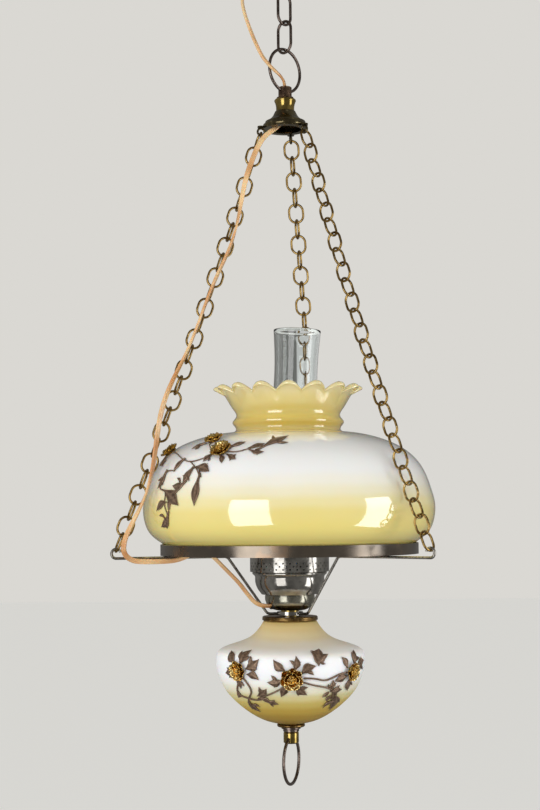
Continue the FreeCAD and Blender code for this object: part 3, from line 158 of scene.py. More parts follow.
# name, bearing from the front in degrees, height above the aim, distance, width, height, watts, mirrored
SOFT_BOXES = (
    ("box_left", -30.0, -0.22, 1.35, 0.74, 1.42, 9.4, True),
    ("box_right", 70.0, -0.22, 1.35, 0.60, 1.42, 8.2, True),
    ("box_side_left", -96.0, 0.10, 1.70, 1.60, 1.60, 11.0, False),
    ("box_back_right", 152.0, 0.30, 1.80, 1.80, 1.80, 4.6, False),
    ("box_front_high", 4.0, 0.86, 1.45, 1.10, 0.60, 7.4, False),
)
for name, bearing, rise, distance, width, height, watts, mirrored in SOFT_BOXES:
    lamp_data = bpy.data.lights.new(name, "AREA")
    lamp_data.shape = "RECTANGLE"
    lamp_data.size, lamp_data.size_y = width, height
    lamp_data.energy = watts
    lamp = bpy.data.objects.new(name, lamp_data)
    turn = math.radians(bearing)
    round_aim = Matrix.Translation(AIM) @ Matrix.Rotation(turn, 4, "Z")
    tilt = Matrix.Rotation(math.pi / 2 - math.atan2(rise, distance), 4, "X")
    lamp.matrix_world = round_aim @ Matrix.Translation((0, -distance, rise)) @ tilt
    lamp.visible_camera = False
    lamp.visible_glossy = mirrored
    scene.collection.objects.link(lamp)

# %% Floor
FLOOR_LEVEL = -2.4
FLOOR_HALF = 30.0
FLOOR_TONE = "#D6D8D9"
FLOOR_GLOW = 0.45
floor_mesh = bpy.data.meshes.new("floor")
corners = [(x * FLOOR_HALF, y * FLOOR_HALF, FLOOR_LEVEL) for x, y in ((-1, -1), (1, -1), (1, 1), (-1, 1))]
floor_mesh.from_pydata(corners, [], [(0, 1, 2, 3)])
floor = bpy.data.objects.new("floor", floor_mesh)
floor.visible_glossy = False
scene.collection.objects.link(floor)
floor_paint = bpy.data.materials.new("matt_floor_paint")
floor_paint.use_nodes = True
tree = floor_paint.node_tree
glow = add(tree, "Math", {1: FLOOR_GLOW}, {0: (seen_rays(tree), 0)}, operation="MULTIPLY")
put(tree.nodes["Principled BSDF"], Base_Color=linear(FLOOR_TONE), Roughness=0.9,
    Emission_Color=linear(ROOM), Emission_Strength=(glow, 0))
floor_mesh.materials.append(floor_paint)

# %% [markdown]
# ## Cords
# A twin lamp cord is two insulated wires side by side, about six millimetres wide and half as
# thick, with a groove between them. Its clear gold plastic lets the copper shine through. Each
# stretch is one smooth spline through the air. The flat section is carried along points read
# from that spline, and turns slowly, as such a cord always does.

# %% Cord routes, millimetres
UPPER_ROUTE = (
    (0.0, 0.0, -189.6), (-0.4, -2.6, -184.0), (-3.6, -9.4, -179.6), (-9.4, -17.0, -176.0),
    (-16.2, -21.8, -171.0), (-23.4, -25.2, -162.8), (-28.8, -25.4, -151.6), (-33.6, -23.4, -139.4),
    (-38.0, -20.4, -126.4), (-42.0, -16.6, -112.4), (-44.4, -11.6, -98.4), (-43.0, -4.0, -84.6),
    (-37.6, 4.0, -72.4), (-28.4, 9.8, -62.2), (-17.4, 11.2, -54.0), (-7.8, 7.0, -48.4), (-1.6, 1.2, -44.6),
)
LAMP_ROUTE = (
    (0.0, 0.0, -217.8), (-1.6, -1.8, -223.4), (-5.8, -6.2, -228.6), (-10.6, -10.0, -234.4),
    (-16.4, -13.8, -239.2), (-22.2, -17.6, -245.0), (-27.0, -21.6, -252.8), (-31.2, -25.8, -262.4),
    (-34.8, -30.0, -272.6), (-39.6, -34.0, -286.4), (-43.4, -36.2, -302.0), (-46.2, -37.2, -318.4),
    (-49.6, -38.2, -336.0), (-54.0, -39.4, -354.0), (-60.6, -41.2, -371.4), (-68.6, -43.0, -388.4),
    (-76.2, -44.6, -405.8), (-83.0, -46.2, -423.8), (-89.6, -48.0, -442.2), (-96.6, -50.2, -460.8),
    (-104.6, -52.4, -479.2), (-113.6, -54.6, -496.4), (-121.4, -56.6, -514.0), (-127.2, -58.2, -533.0),
    (-130.4, -59.4, -553.0), (-132.8, -60.6, -573.2), (-135.8, -62.2, -592.8), (-140.4, -64.0, -610.6),
    (-147.2, -66.0, -627.4), (-155.6, -67.6, -643.2), (-162.8, -67.6, -658.6), (-164.2, -64.2, -671.8),
    (-156.6, -53.2, -679.6), (-143.2, -47.6, -680.6), (-130.4, -43.6, -680.6), (-115.0, -39.4, -680.2),
    (-103.4, -36.4, -676.4), (-92.6, -34.0, -670.8), (-82.6, -31.8, -671.6), (-74.0, -29.8, -679.6),
    (-62.8, -27.2, -691.4), (-51.8, -24.8, -702.6), (-43.4, -23.2, -714.0), (-35.6, -21.2, -723.6),
    (-27.0, -17.1, -727.2), (-18.8, -11.9, -727.2),
)


def smooth_line(name, route):
    """Points along a NURBS spline of order 3 whose control points are the route."""
    curve = bpy.data.curves.new(name, "CURVE")
    curve.dimensions = "3D"
    strand = curve.splines.new("NURBS")
    strand.points.add(len(route) - 1)
    strand.points.foreach_set("co", np.c_[np.array(route) * MM, np.ones(len(route))].ravel())
    strand.order_u = 3
    strand.use_endpoint_u = True
    curve.resolution_u = 10
    holder = bpy.data.objects.new(name, curve)
    line = bpy.data.meshes.new_from_object(holder)
    points = np.zeros(len(line.vertices) * 3)
    line.vertices.foreach_get("co", points)
    return points.reshape(-1, 3)


# %% [markdown]
# ## Shapes from numbers
# Every new piece here is a closed shell made of loops: rings of points that follow each other
# along the piece. A cord, a stem and a leaf end in two caps; a chimney or a shade closes on
# itself. One function turns any stack of loops into faces that point outwards.

# %% Shells


def unit(vectors):
    return vectors / np.linalg.norm(vectors, axis=-1, keepdims=True)


def circle(count):
    """Angles that go round a circle in even steps."""
    return np.linspace(0, 2 * math.pi, count, endpoint=False)


def shell(loops, ring=False):
    """Vertices and faces of closed shells; loops is (shells, stations, around, 3 or more).

    The signed volume, a sixth of the sum of a . (b x c) over the triangles, tells which way a
    shell faces; where it is negative the loops run the other way round.
    """
    loops = np.array(loops, float)
    count, stations, around, width = loops.shape
    spots = loops[..., :3] - loops[..., :3].mean(axis=(1, 2), keepdims=True)
    here = spots if ring else spots[:, :-1]
    there = np.roll(spots, -1, 1) if ring else spots[:, 1:]
    here_side, there_side = np.roll(here, -1, 2), np.roll(there, -1, 2)
    volume = ((here * np.cross(here_side, there_side)).sum((1, 2, 3))
              + (here * np.cross(there_side, there)).sum((1, 2, 3)))
    loops[volume < 0] = loops[volume < 0][:, :, ::-1]
    index = np.arange(count * stations * around).reshape(count, stations, around)
    lower = index if ring else index[:, :-1]
    upper = np.roll(index, -1, 1) if ring else index[:, 1:]
    quads = np.stack([lower, np.roll(lower, -1, 2), np.roll(upper, -1, 2), upper], -1).reshape(-1, 4)
    faces = quads.tolist()
    if not ring:
        faces += index[:, 0, ::-1].tolist() + index[:, -1].tolist()
    return loops.reshape(-1, width), faces


def finished(name, points, faces, material, body, replaced):
    """A mesh object in metres that rides on a body; a fourth column of points is kept as mark."""
    mesh = bpy.data.meshes.new(name)
    mesh.from_pydata(points[:, :3].tolist(), [], faces)
    mesh.shade_smooth()
    if points.shape[1] > 3:
        mark = mesh.attributes.new("mark", "FLOAT", "POINT")
        mark.data.foreach_set("value", points[:, 3].astype(np.float32))
    mesh.materials.append(material)
    made = bpy.data.objects.new(name, mesh)
    scene.collection.objects.link(made)
    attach(made, body)
    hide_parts(replaced)
    print(name, "faces:", len(faces))
    return made


def piece(name, loops, material, body, replaced, ring=False):
    """A mesh object made of closed shells."""
    points, faces = shell(loops, ring)
    return finished(name, points, faces, material, body, replaced)


def swept(line, section, side):
    """Loops of a section carried along a line: point + u * across + v * (across x tangent)."""
    tangent = unit(np.gradient(line, axis=-2))
    across = unit(side - tangent * (side * tangent).sum(-1, keepdims=True))
    over = np.cross(across, tangent)
    return (line[..., None, :] + section[..., 0:1] * across[..., None, :]
            + section[..., 1:2] * over[..., None, :])


# %% [markdown]
# ## Amber cord plastic
# The insulation is clear PVC tinted gold: smooth, soft-looking, with a copper glow inside. Real
# see-through plastic over metal costs the render a lot, so a warm colour with a light coat and
# a little subsurface does the same job.

# %% Surface helpers


def start(name):
    """A new material with its tree, its shader and the pair that gives a point's place."""
    material = bpy.data.materials.new(name)
    material.use_nodes = True
    tree = material.node_tree
    return material, tree, tree.nodes["Principled BSDF"], (add(tree, "TexCoord"), "Object")


def noise(tree, where, size, detail, finer=1, **inputs):
    """The pair of a noise read at a pair; its patches are about size / finer millimetres wide."""
    inputs = {"Scale": finer / (size * MM), "Detail": detail, **inputs}
    return add(tree, "TexNoise", inputs, {"Vector": where}), "Fac"


def emboss(tree, shader, height, strength, depth):
    """Relief on a surface, depth in millimetres; gives the bump node."""
    bump = add(tree, "Bump", {"Strength": strength, "Distance": depth * MM}, {"Height": height})
    put(shader, Normal=(bump, 0))
    return bump


def ramp(tree, share, stops, easing="LINEAR"):
    """Colours that follow a share; stops are (share, hex code)."""
    node = add(tree, "ValToRGB", links={"Fac": share})
    node.color_ramp.interpolation = easing
    elements = node.color_ramp.elements
    elements[0].position, elements[1].position = stops[0][0], stops[-1][0]
    for spot, _ in stops[1:-1]:
        elements.new(spot)
    for element, (_, code) in zip(elements, stops):
        element.color = linear(code)
    return node


# A Mix node has its sockets for colours after those for numbers and vectors
FIRST, SECOND, MIXED = 6, 7, 2


def blend_colours(tree, share, first, second):
    """Mix two colours by a share; each is a hex code or a (node, output) pair."""
    both = {FIRST: first, SECOND: second}
    inputs = {key: linear(item) for key, item in both.items() if isinstance(item, str)}
    links = {key: item for key, item in both.items() if not isinstance(item, str)}
    return add(tree, "Mix", inputs, {0: share, **links}, data_type="RGBA")


# %% Cord plastic
cord_plastic, tree, shader, where = start("amber_pvc_cord_moulded")
tone = ramp(tree, noise(tree, where, 30, 2.0), ((0.35, "#C48A54"), (0.65, "#E8C592")))
put(shader, Base_Color=(tone, 0), Roughness=0.32, Coat_Weight=0.6, Coat_Roughness=0.12,
    Subsurface_Weight=0.15, Subsurface_Scale=1.5 * MM)

# %% Cords
CORD_WIDE = 5.4 * MM
CORD_THICK = 2.9 * MM
CORD_POINTS = 20
# How sharply the section passes from wire to wire, and the share that the groove takes away
SIDE_STEEP, PINCH_STEEP, PINCH = 4, 3, 0.38
# The way of the broad side before the cord turns
CORD_SIDE = np.array([0.25, -1.0, 0.1])
angle = circle(CORD_POINTS) + math.pi / CORD_POINTS
half_gap = (CORD_WIDE - CORD_THICK) / 2
wire = CORD_THICK / 2
# Two circles side by side, pinched where they meet: x = gap * side + r cos t, y = r sin t * pinch
twin_x = half_gap * np.tanh(SIDE_STEEP * np.cos(angle)) + wire * np.cos(angle)
twin_y = wire * np.sin(angle) * (1 - PINCH + PINCH * np.abs(np.tanh(PINCH_STEEP * np.cos(angle))))
section = np.stack([twin_x, twin_y], -1)


def cord_piece(name, route, body, turns):
    """The flat section carried along the route's spline, turning slowly by a sum of sines."""
    line = smooth_line(name + "_route", route)
    run = np.r_[0, np.cumsum(np.linalg.norm(np.diff(line, axis=0), axis=1))]
    share = run / run[-1]
    twist = sum(swing * np.sin(2 * math.pi * rate * share + shift) for swing, rate, shift in turns)
    twisted = np.stack([
        section[:, 0] * np.cos(twist)[:, None] - section[:, 1] * np.sin(twist)[:, None],
        section[:, 0] * np.sin(twist)[:, None] + section[:, 1] * np.cos(twist)[:, None]], -1)
    loops = swept(line, twisted, CORD_SIDE * np.ones_like(line))
    made = piece(name + "_twin", loops[None], cord_plastic, body, name)
    print(name, "length", round(run[-1], 4))
    return made, line


# Each sine of the turning: how far in radians, how often along the cord, where it starts
upper, upper_line = cord_piece(
    "upper_cord", UPPER_ROUTE, "suspension", ((0.35, 0.7, 0.3), (0.5, 0.0, math.pi / 2)))
lower, lower_line = cord_piece(
    "lamp_cord", LAMP_ROUTE, "lamp", ((0.9, 1.3, 1.0), (0.5, 3.1, 0.0)))

# %% [markdown]
# ## Painted opal glass
# The shade is white opal glass, blown into a mould, with its rim crimped hot into sixteen
# scallops. Yellow enamel is sprayed on the outside of the neck and the lower half, so it fades
# softly into the white, and the inside stays white. A clear glaze makes it glossy. The colour
# follows the height, with a slow drift where the spray gun wandered.

# %% Outlines of the glass
SHADE_FOOT = -672.2
SHADE_RADIUS = 149.5
SHADE_HEIGHT = 140.5
SHADE_WALL = 3.0
WAIST_RADIUS = 53.6
CRIMP_HEIGHT = 25.5
CRIMP_REACH = 21.4
LOBES = 16
RIM_ROUND = 0.4
# Shares of radius and height; the neck's radius is of the waist's, the crimp's of its own reach
SHADE_SHARES = np.array([
    (0.8500, 0.010), (0.8540, 0.030), (0.8630, 0.054), (0.8840, 0.073), (0.9150, 0.096),
    (0.9605, 0.146), (0.9900, 0.222), (1.0000, 0.300), (0.9950, 0.365), (0.9779, 0.432),
    (0.9385, 0.552), (0.8669, 0.670), (0.7525, 0.762), (0.6087, 0.823), (0.4800, 0.853),
    (0.3950, 0.864)])
NECK_SHARES = np.array([
    (1.012, 0.880), (1.018, 0.905), (1.074, 0.938), (1.018, 0.970), (1.000, 1.000)])
LOBE_SHARES = np.array([
    (0.18, 0.24), (0.37, 0.50), (0.56, 0.77), (0.74, 0.98), (0.90, 1.03), (1.00, 0.97)])
NOTCH_SHARES = np.array([
    (0.17, 0.22), (0.31, 0.44), (0.41, 0.60), (0.47, 0.67), (0.51, 0.71), (0.54, 0.74)])


def spline(points, marks, samples, closed=False):
    """A curve of cubic pieces through the points, with slope and bend running on smoothly.

    The bends m solve h0 m0 + 2 (h0 + h1) m1 + h1 m2 = 6 (slope after - slope before), where h is
    the step between marks; an open curve has no bend at its ends.
    """
    points = np.asarray(points, float)
    count = len(points)
    ahead = np.roll(points, -1, 0)
    steps = np.diff(marks) if closed else np.r_[np.diff(marks), 1.0]
    before = np.roll(steps, 1)
    slopes = (ahead - points) / steps[:, None]
    rows = np.arange(count)
    system = np.diag(2 * (before + steps))
    system[rows, (rows + 1) % count] += steps
    system[rows, (rows - 1) % count] += before
    right = 6 * (slopes - np.roll(slopes, 1, 0))
    if not closed:
        system[[0, -1]] = np.eye(count)[[0, -1]]
        right[[0, -1]] = 0
    bends = np.linalg.solve(system, right)
    at = np.linspace(marks[0], marks[-1], samples, endpoint=not closed)
    span = np.clip(np.searchsorted(marks, at, side="right") - 1, 0, len(marks) - 2)
    gone = (at - np.asarray(marks)[span])[:, None]
    step = steps[span][:, None]
    left = step - gone
    m0, m1 = bends[span], np.roll(bends, -1, 0)[span]
    return (m0 * left ** 3 / (6 * step) + m1 * gone ** 3 / (6 * step)
            + (points[span] / step - m0 * step / 6) * left + (ahead[span] / step - m1 * step / 6) * gone)


def run_marks(points, power=1.0):
    """Marks along a row of points: the running sum of its steps, each to a power."""
    return np.r_[0, np.cumsum(np.linalg.norm(np.diff(points, axis=0), axis=1) ** power)]


def inset(rows, distance):
    """The row moved square to itself, inward where distance is positive."""
    way = unit(np.gradient(rows, axis=0))
    return rows + distance * np.stack([-way[:, 1], way[:, 0]], -1)


def shade_row(crest):
    """Outer face, rim edge, inner face and foot of the shade where a scallop stands crest high."""
    rim = NOTCH_SHARES + (LOBE_SHARES - NOTCH_SHARES) * crest
    outer = np.concatenate([
        SHADE_SHARES * (SHADE_RADIUS, SHADE_HEIGHT), NECK_SHARES * (WAIST_RADIUS, SHADE_HEIGHT),
        (WAIST_RADIUS, SHADE_HEIGHT) + rim * (CRIMP_REACH, CRIMP_HEIGHT)])
    inner = inset(outer, SHADE_WALL)
    edge = (outer[-1] + inner[-1]) / 2 + unit(outer[-1] - outer[-2]) * SHADE_WALL * RIM_ROUND
    foot = ((outer[0] + inner[0]) / 2) * (1, 0)
    return np.concatenate([outer, [edge], inner[::-1], [foot]])


# %% Spray-painted opal glass
UNPAINTED = "#EFEDE4"
# Millimetres; the paint is rougher than the coat by a factor
CLOUD_SIZE, WAVE_SIZE, WAVE_DEPTH = 55, 24, 0.6
PAINT_ROUGHER = 2.6


def sprayed_glass(name, low, high, stops, drift, glaze):
    """Opal glass sprayed with enamel in bands by height; stops are (share, colour).

    The bands wander by drift in clouds, and the face has slow waves. The glaze is the weight,
    roughness and refraction of the clear coat.
    """
    material, tree, shader, where = start(name)
    height = add(tree, "SeparateXYZ", links={"Vector": where})
    sway = spread(tree, noise(tree, where, CLOUD_SIZE, 3.0), new=(-drift, drift))
    level = add(tree, "Math", links={0: (height, "Z"), 1: (sway, 0)}, operation="ADD")
    share = spread(tree, (level, 0), (low * MM, high * MM))
    paint = ramp(tree, (share, 0), stops, "EASE")
    mark = add(tree, "Attribute", attribute_name="mark")
    colour = blend_colours(tree, (mark, "Fac"), (paint, 0), UNPAINTED)
    bump = emboss(tree, shader, noise(tree, where, WAVE_SIZE, 2.0), 0.25, WAVE_DEPTH)
    weight, rough, refraction = glaze
    put(shader, Base_Color=(colour, MIXED), Roughness=PAINT_ROUGHER * rough, IOR=1.45,
        Coat_Weight=weight, Coat_Roughness=rough, Coat_IOR=refraction, Coat_Normal=(bump, 0),
        Subsurface_Weight=0.12, Subsurface_Scale=4 * MM)
    return material


shade_top = SHADE_FOOT + SHADE_HEIGHT + CRIMP_HEIGHT
# The first stop, darker at the foot, is painted shade from the band
shade_paint = sprayed_glass("opal_glass_sprayed_yellow", SHADE_FOOT, shade_top, (
    (0.00, "#CDB868"), (0.06, "#E6D47C"), (0.15, "#ECDA80"), (0.23, "#EAD988"), (0.30, "#ECE0A6"),
    (0.36, "#EEE7C8"), (0.42, "#F0EDE0"), (0.49, "#F0F0EF"), (0.66, "#EEEEEC"), (0.715, "#E6E2D2"),
    (0.735, "#D9C478"), (0.77, "#DABF5C"), (0.84, "#DEC76C"), (0.91, "#E1CE80"), (1.00, "#E8DAA2")),
    4 * MM, (1.0, 0.055, 2.1))

# %% Shade
POINTS_PER_LOBE = 20
ROUND_SAMPLES = 168
# Below 1, it widens the crests and narrows the notches
CREST_POWER = 0.45
# Below 1, it gives short steps of an outline more weight
MARK_POWER = 0.5
# Height over which the inside goes over into the painted crimp, millimetres
INSIDE_FADE = 6.0
turn = circle(LOBES * POINTS_PER_LOBE)
crest = ((1 + np.cos(LOBES * turn)) / 2) ** CREST_POWER
guide = shade_row(0.5)
marks = run_marks(np.r_[guide, guide[:1]], MARK_POWER)
notch_line, lobe_line = (spline(shade_row(high), marks, ROUND_SAMPLES, closed=True) for high in (0.0, 1.0))
rows = notch_line + (lobe_line - notch_line) * crest[:, None, None]
inner_from = marks[len(guide) // 2] / marks[-1]
inner = np.linspace(0, 1, ROUND_SAMPLES, endpoint=False) > inner_from
inside = inner * np.clip((SHADE_HEIGHT - rows[..., 1]) / INSIDE_FADE, 0, 1)
shade_loops = np.stack([
    rows[..., 0] * np.sin(turn)[:, None], rows[..., 0] * -np.cos(turn)[:, None],
    rows[..., 1] + SHADE_FOOT, inside / MM], -1) * MM
piece("shade_crimped", shade_loops[None], shade_paint, "lamp", "shade_glass", ring=True)

# %% [markdown]
# ## Font
# The font was the oil tank: a squat bottle of the same opal glass, clamped between a metal cap
# and a washer by the rod inside. Tan enamel covers its neck, the shoulder stays white, and the
# yellow comes back towards the foot. A turned piece is its outline carried round the axis.

# %% Turned shapes


def turned(rows, level, around=160, lean=0.0):
    """Loops of a closed outline (radius, height) round the axis: x = r sin t, y = -r cos t.

    The lean tips the piece round the Y axis at its foot. The mark, the fourth value, is zero.
    """
    angle = circle(around)[:, None]
    rows = np.asarray(rows, float)
    radius, height = rows[:, 0], rows[:, 1] + 0 * angle
    loops = np.stack([radius * np.sin(angle), -radius * np.cos(angle), height, 0 * height], -1)
    tilted = loops.copy()
    tilted[..., 0] = loops[..., 0] * math.cos(lean) - height * math.sin(lean)
    tilted[..., 2] = loops[..., 0] * math.sin(lean) + height * math.cos(lean) + level
    return tilted[None] * MM


# %% Font outline and glass
FONT_TOP = -742.4
FONT_RADIUS = 76.0
FONT_HEIGHT = 104.2
FONT_WALL = 4.0
FONT_SHARES = np.array([
    (0.350, 0.0), (0.398, 0.055), (0.520, 0.150), (0.690, 0.208), (0.868, 0.251), (0.976, 0.300),
    (1.000, 0.385), (0.970, 0.512), (0.882, 0.655), (0.740, 0.775), (0.520, 0.900), (0.330, 0.968),
    (0.145, 1.000)])
font_points = FONT_SHARES * (FONT_RADIUS, -FONT_HEIGHT)
font_face = spline(font_points, run_marks(font_points), 90)
font_inner = inset(font_face, -FONT_WALL)
font_outline = np.concatenate([font_face, font_inner[2:-2][::-1]])
font_paint = sprayed_glass("opal_glass_sprayed_tan", FONT_TOP - FONT_HEIGHT, FONT_TOP, (
    (0.00, "#8A6C1E"), (0.10, "#AA882C"), (0.17, "#BE9E3C"), (0.24, "#CCB45C"), (0.31, "#D8CB90"),
    (0.38, "#E4E0C8"), (0.46, "#EFEEEA"), (0.52, "#F0F1F4"), (0.66, "#F1F2F4"), (0.73, "#F1EDE6"),
    (0.79, "#ECE2CE"), (0.86, "#E6D4A8"), (0.94, "#DEC68C"), (1.00, "#C8AC68")),
    3 * MM, (0.30, 0.24, 1.5))
piece("font_blown", turned(font_outline, FONT_TOP), font_paint, "lamp", "font_glass",
      ring=True)

# %% [markdown]
# ## Chimney
# The chimney is a drawn tube of clear lamp glass with a fire-polished mouth. It is so clear that
# only its edges and the streaks of light tell that it is there, so its wall has its real
# thickness and the render bends the light through it.

# %% Chimney
CHIMNEY_LEVEL = -690.18
CHIMNEY_WALL = 1.7
CHIMNEY_LEAN = math.radians(-2.4)
chimney_points = np.array([
    (36.6, 0.0), (36.6, 12.0), (36.8, 24.5), (39.6, 40.0), (41.5, 58.8), (39.6, 78.0), (32.9, 102.9),
    (28.6, 122.0), (25.9, 147.0), (23.4, 172.0), (22.3, 196.0), (22.7, 220.0), (24.5, 245.0)])
chimney_face = spline(chimney_points, run_marks(chimney_points), 80)
chimney_inner = inset(chimney_face, CHIMNEY_WALL)
lip = np.array([(24.1, 245.6), (23.6, 245.8), (23.1, 245.5)])
chimney_outline = np.concatenate([chimney_face, lip, chimney_inner[::-1]])
clear_glass, _, shader, _ = start("clear_lamp_glass_fire_polished")
put(shader, Base_Color=linear("#F4F7F6"), Roughness=0.0, IOR=1.47, Transmission_Weight=1.0)
piece("chimney_drawn", turned(chimney_outline, CHIMNEY_LEVEL, 120, CHIMNEY_LEAN), clear_glass,
      "chimney", "chimney_glass", ring=True)

# %% [markdown]
# ## Cast ornament
# Leaves, stems and flowers were cast in soft metal and glued on. The leaves are brown bronze,
# worn bright on their high edges, with a painted highlight there too; the flowers are gilt, with
# dark lacquer and painted shade in the hollows.
# Each leaf is a thin closed shell pressed on the glass: its middle line, its width and its rise
# are functions of the share of its length.

# %% The glass as a place to put things


def on_glass(face, level, spots, lift):
    """Spots moved square to the glass until they stand lift above it; also the normals there.

    The nearest sample of the face and its tangent plane give the foot of each spot.
    """
    rows = np.asarray(face, float) + (0, level)
    ways = unit(np.gradient(rows, axis=0))
    flat = np.stack([np.hypot(spots[..., 0], spots[..., 1]), spots[..., 2]], -1)
    near = ((flat[..., None, :] - rows) ** 2).sum(-1).argmin(-1)
    out = np.stack([ways[near, 1], -ways[near, 0]], -1)
    out *= np.sign((out * (rows[near] - (0, rows[:, 1].mean()))).sum(-1, keepdims=True))
    gap = ((flat - rows[near]) * out).sum(-1, keepdims=True)
    round_way = unit(spots[..., :2])
    normal = np.concatenate([round_way * out[..., :1], out[..., 1:]], -1)
    return spots + normal * (np.asarray(lift)[..., None] - gap), normal


def at_share(face, level, height, angle, share):
    """The spot on the glass at an angle from the front, in degrees, and a share of its height."""
    rows = face[np.argsort(face[:, 1])]
    rise = share * height
    radius = np.interp(rise, rows[:, 1], rows[:, 0])
    turn = np.radians(angle)
    return np.stack([radius * np.sin(turn), -radius * np.cos(turn), rise + level], -1)


SEAT_SAMPLES = 240
shade_points = shade_row(0.0)[:len(SHADE_SHARES)]
shade_face = spline(shade_points, run_marks(shade_points), SEAT_SAMPLES)
# The face of each glass, the level of its own zero and its height; the font hangs from its top
SHADE_SEAT = (shade_face, SHADE_FOOT, SHADE_HEIGHT)
FONT_SEAT = (spline(font_points, run_marks(font_points), SEAT_SAMPLES), FONT_TOP, -FONT_HEIGHT)

# %% Where the ornament sits
# Places are in degrees from the front and shares of the glass's height. A flower also has its
# size; a leaf has its root, its tip and its half width as a share; a stem runs through its row.
SHADE_FLOWERS = ((-76.0, 0.716, 1.0), (-43.5, 0.782, 0.95), (-31.5, 0.7, 1.1))
SHADE_LEAVES = (
    (-17.4, 0.712, -11.5, 0.74, 0.45), (-11.0, 0.728, -0.5, 0.796, 0.34), (-17.0, 0.7, -11.0, 0.682, 0.4),
    (-31.0, 0.66, -28.5, 0.61, 0.55), (-35.0, 0.672, -38.0, 0.624, 0.5), (-27.0, 0.668, -22.5, 0.636, 0.5),
    (-27.0, 0.724, -21.5, 0.756, 0.45), (-46.5, 0.752, -51.5, 0.72, 0.45), (-40.5, 0.58, -33.0, 0.556, 0.5),
    (-37.5, 0.505, -37.4, 0.325, 0.36), (-42.5, 0.575, -45.5, 0.48, 0.42), (-45.0, 0.49, -51.5, 0.468, 0.5),
    (-50.5, 0.64, -53.8, 0.565, 0.48), (-60.0, 0.56, -62.5, 0.45, 0.44), (-55.6, 0.425, -45.5, 0.33, 0.42),
    (-53.8, 0.345, -60.0, 0.296, 0.45), (-52.4, 0.275, -58.5, 0.188, 0.4), (-72.0, 0.672, -68.0, 0.61, 0.5),
)
SHADE_STEMS = (
    ((-31.5, 0.7), (-23.0, 0.69), (-17.4, 0.712), (-11.0, 0.728)),
    ((-31.5, 0.7), (-38.0, 0.655), (-45.8, 0.632), (-50.6, 0.646), (-60.0, 0.69), (-72.0, 0.716)),
    ((-43.5, 0.782), (-41.0, 0.74), (-34.0, 0.705)),
    ((-45.8, 0.632), (-40.5, 0.583), (-37.5, 0.52), (-37.4, 0.44)),
    ((-42.0, 0.577), (-44.5, 0.488), (-50.5, 0.471)),
    ((-53.3, 0.57), (-60.0, 0.555), (-60.5, 0.455), (-55.6, 0.425), (-53.8, 0.32), (-52.4, 0.271),
     (-55.0, 0.231)),
)
FONT_FLOWERS = ((-42.6, 0.432, 1.0), (0.0, 0.49, 1.15), (52.1, 0.458, 0.95))
FONT_LEAVES = (
    (-48.0, 0.345, -56.0, 0.268, 0.45), (-40.0, 0.345, -35.5, 0.252, 0.45),
    (-34.0, 0.395, -24.5, 0.318, 0.45), (-33.5, 0.47, -25.0, 0.51, 0.45), (-43.0, 0.52, -44.0, 0.606, 0.45),
    (-51.0, 0.455, -59.0, 0.468, 0.45), (-6.0, 0.405, -13.5, 0.318, 0.42), (2.0, 0.395, 3.2, 0.29, 0.42),
    (-9.0, 0.51, -19.0, 0.526, 0.42), (-4.0, 0.575, -9.0, 0.668, 0.42), (5.0, 0.575, 13.0, 0.65, 0.42),
    (9.0, 0.44, 18.5, 0.38, 0.45), (19.5, 0.36, 15.5, 0.262, 0.4), (20.5, 0.35, 27.0, 0.308, 0.42),
    (20.5, 0.34, 25.5, 0.242, 0.4), (45.0, 0.4, 40.5, 0.316, 0.42), (56.0, 0.38, 60.0, 0.275, 0.42),
    (52.0, 0.545, 53.5, 0.645, 0.42), (45.0, 0.5, 35.0, 0.535, 0.42), (62.0, 0.43, 72.0, 0.372, 0.42),
    (-42.5, 0.745, -37.0, 0.832, 0.36), (-26.0, 0.69, -19.5, 0.735, 0.42), (-21.0, 0.72, -12.0, 0.74, 0.36),
    (-28.0, 0.65, -20.0, 0.588, 0.42), (-50.5, 0.64, -55.0, 0.7, 0.42), (33.0, 0.6, 33.0, 0.515, 0.42),
    (35.5, 0.63, 45.5, 0.62, 0.42), (31.0, 0.64, 27.0, 0.68, 0.42), (35.0, 0.68, 34.0, 0.73, 0.42),
    (41.0, 0.7, 47.5, 0.83, 0.36),
)
FONT_STEMS = (
    ((-40.0, 0.48), (-34.5, 0.627), (-42.3, 0.721), (-41.0, 0.78)),
    ((-46.0, 0.56), (-50.0, 0.66), (-42.0, 0.69), (-32.2, 0.704), (-25.0, 0.69)),
    ((-30.0, 0.69), (-22.4, 0.66), (-9.2, 0.592), (-3.0, 0.54)),
    ((9.0, 0.49), (19.0, 0.5), (25.2, 0.516), (39.5, 0.467), (46.0, 0.46)),
    ((7.0, 0.52), (18.0, 0.56), (30.5, 0.595), (35.6, 0.627), (38.0, 0.69), (44.0, 0.74)),
)

# %% Leaves and stems
LEAF_GAP, LEAF_THICK = 0.25, 1.1
LEAF_STATIONS, LEAF_ACROSS = 21, 9
# Half width along the leaf as shares of the widest
LEAF_HALF = np.array([
    (0.00, 0.08), (0.12, 0.42), (0.26, 0.86), (0.40, 1.00), (0.56, 0.84), (0.72, 0.52),
    (0.87, 0.20), (1.00, 0.00)])
# How far the blade starts before its given place, as a share of its length
LEAF_ROOT = 0.22
LEAF_BEND = 0.16
# Millimetres of midrib, veins beside it and curl at the tip, and the share of thickness lost there
LEAF_RIDGE, LEAF_VEIN, LEAF_CURL, LEAF_THINNING = 0.8, 0.14, 0.8, 0.8
# Painted highlight with wear: brightness of the blade, and what the midrib and the edges have beyond it
BLADE_SHEEN_WEAR, RIDGE_SHEEN_WEAR, EDGE_SHEEN_WEAR = 0.20, 0.35, 0.50
# Width as a share of the length, how far the blade keeps to the tip (1 is not at all), side lobe's length
LEAF_FORMS = {"shade": (0.40, 0.60, 0.44), "font": (0.60, 0.84, 0.54)}
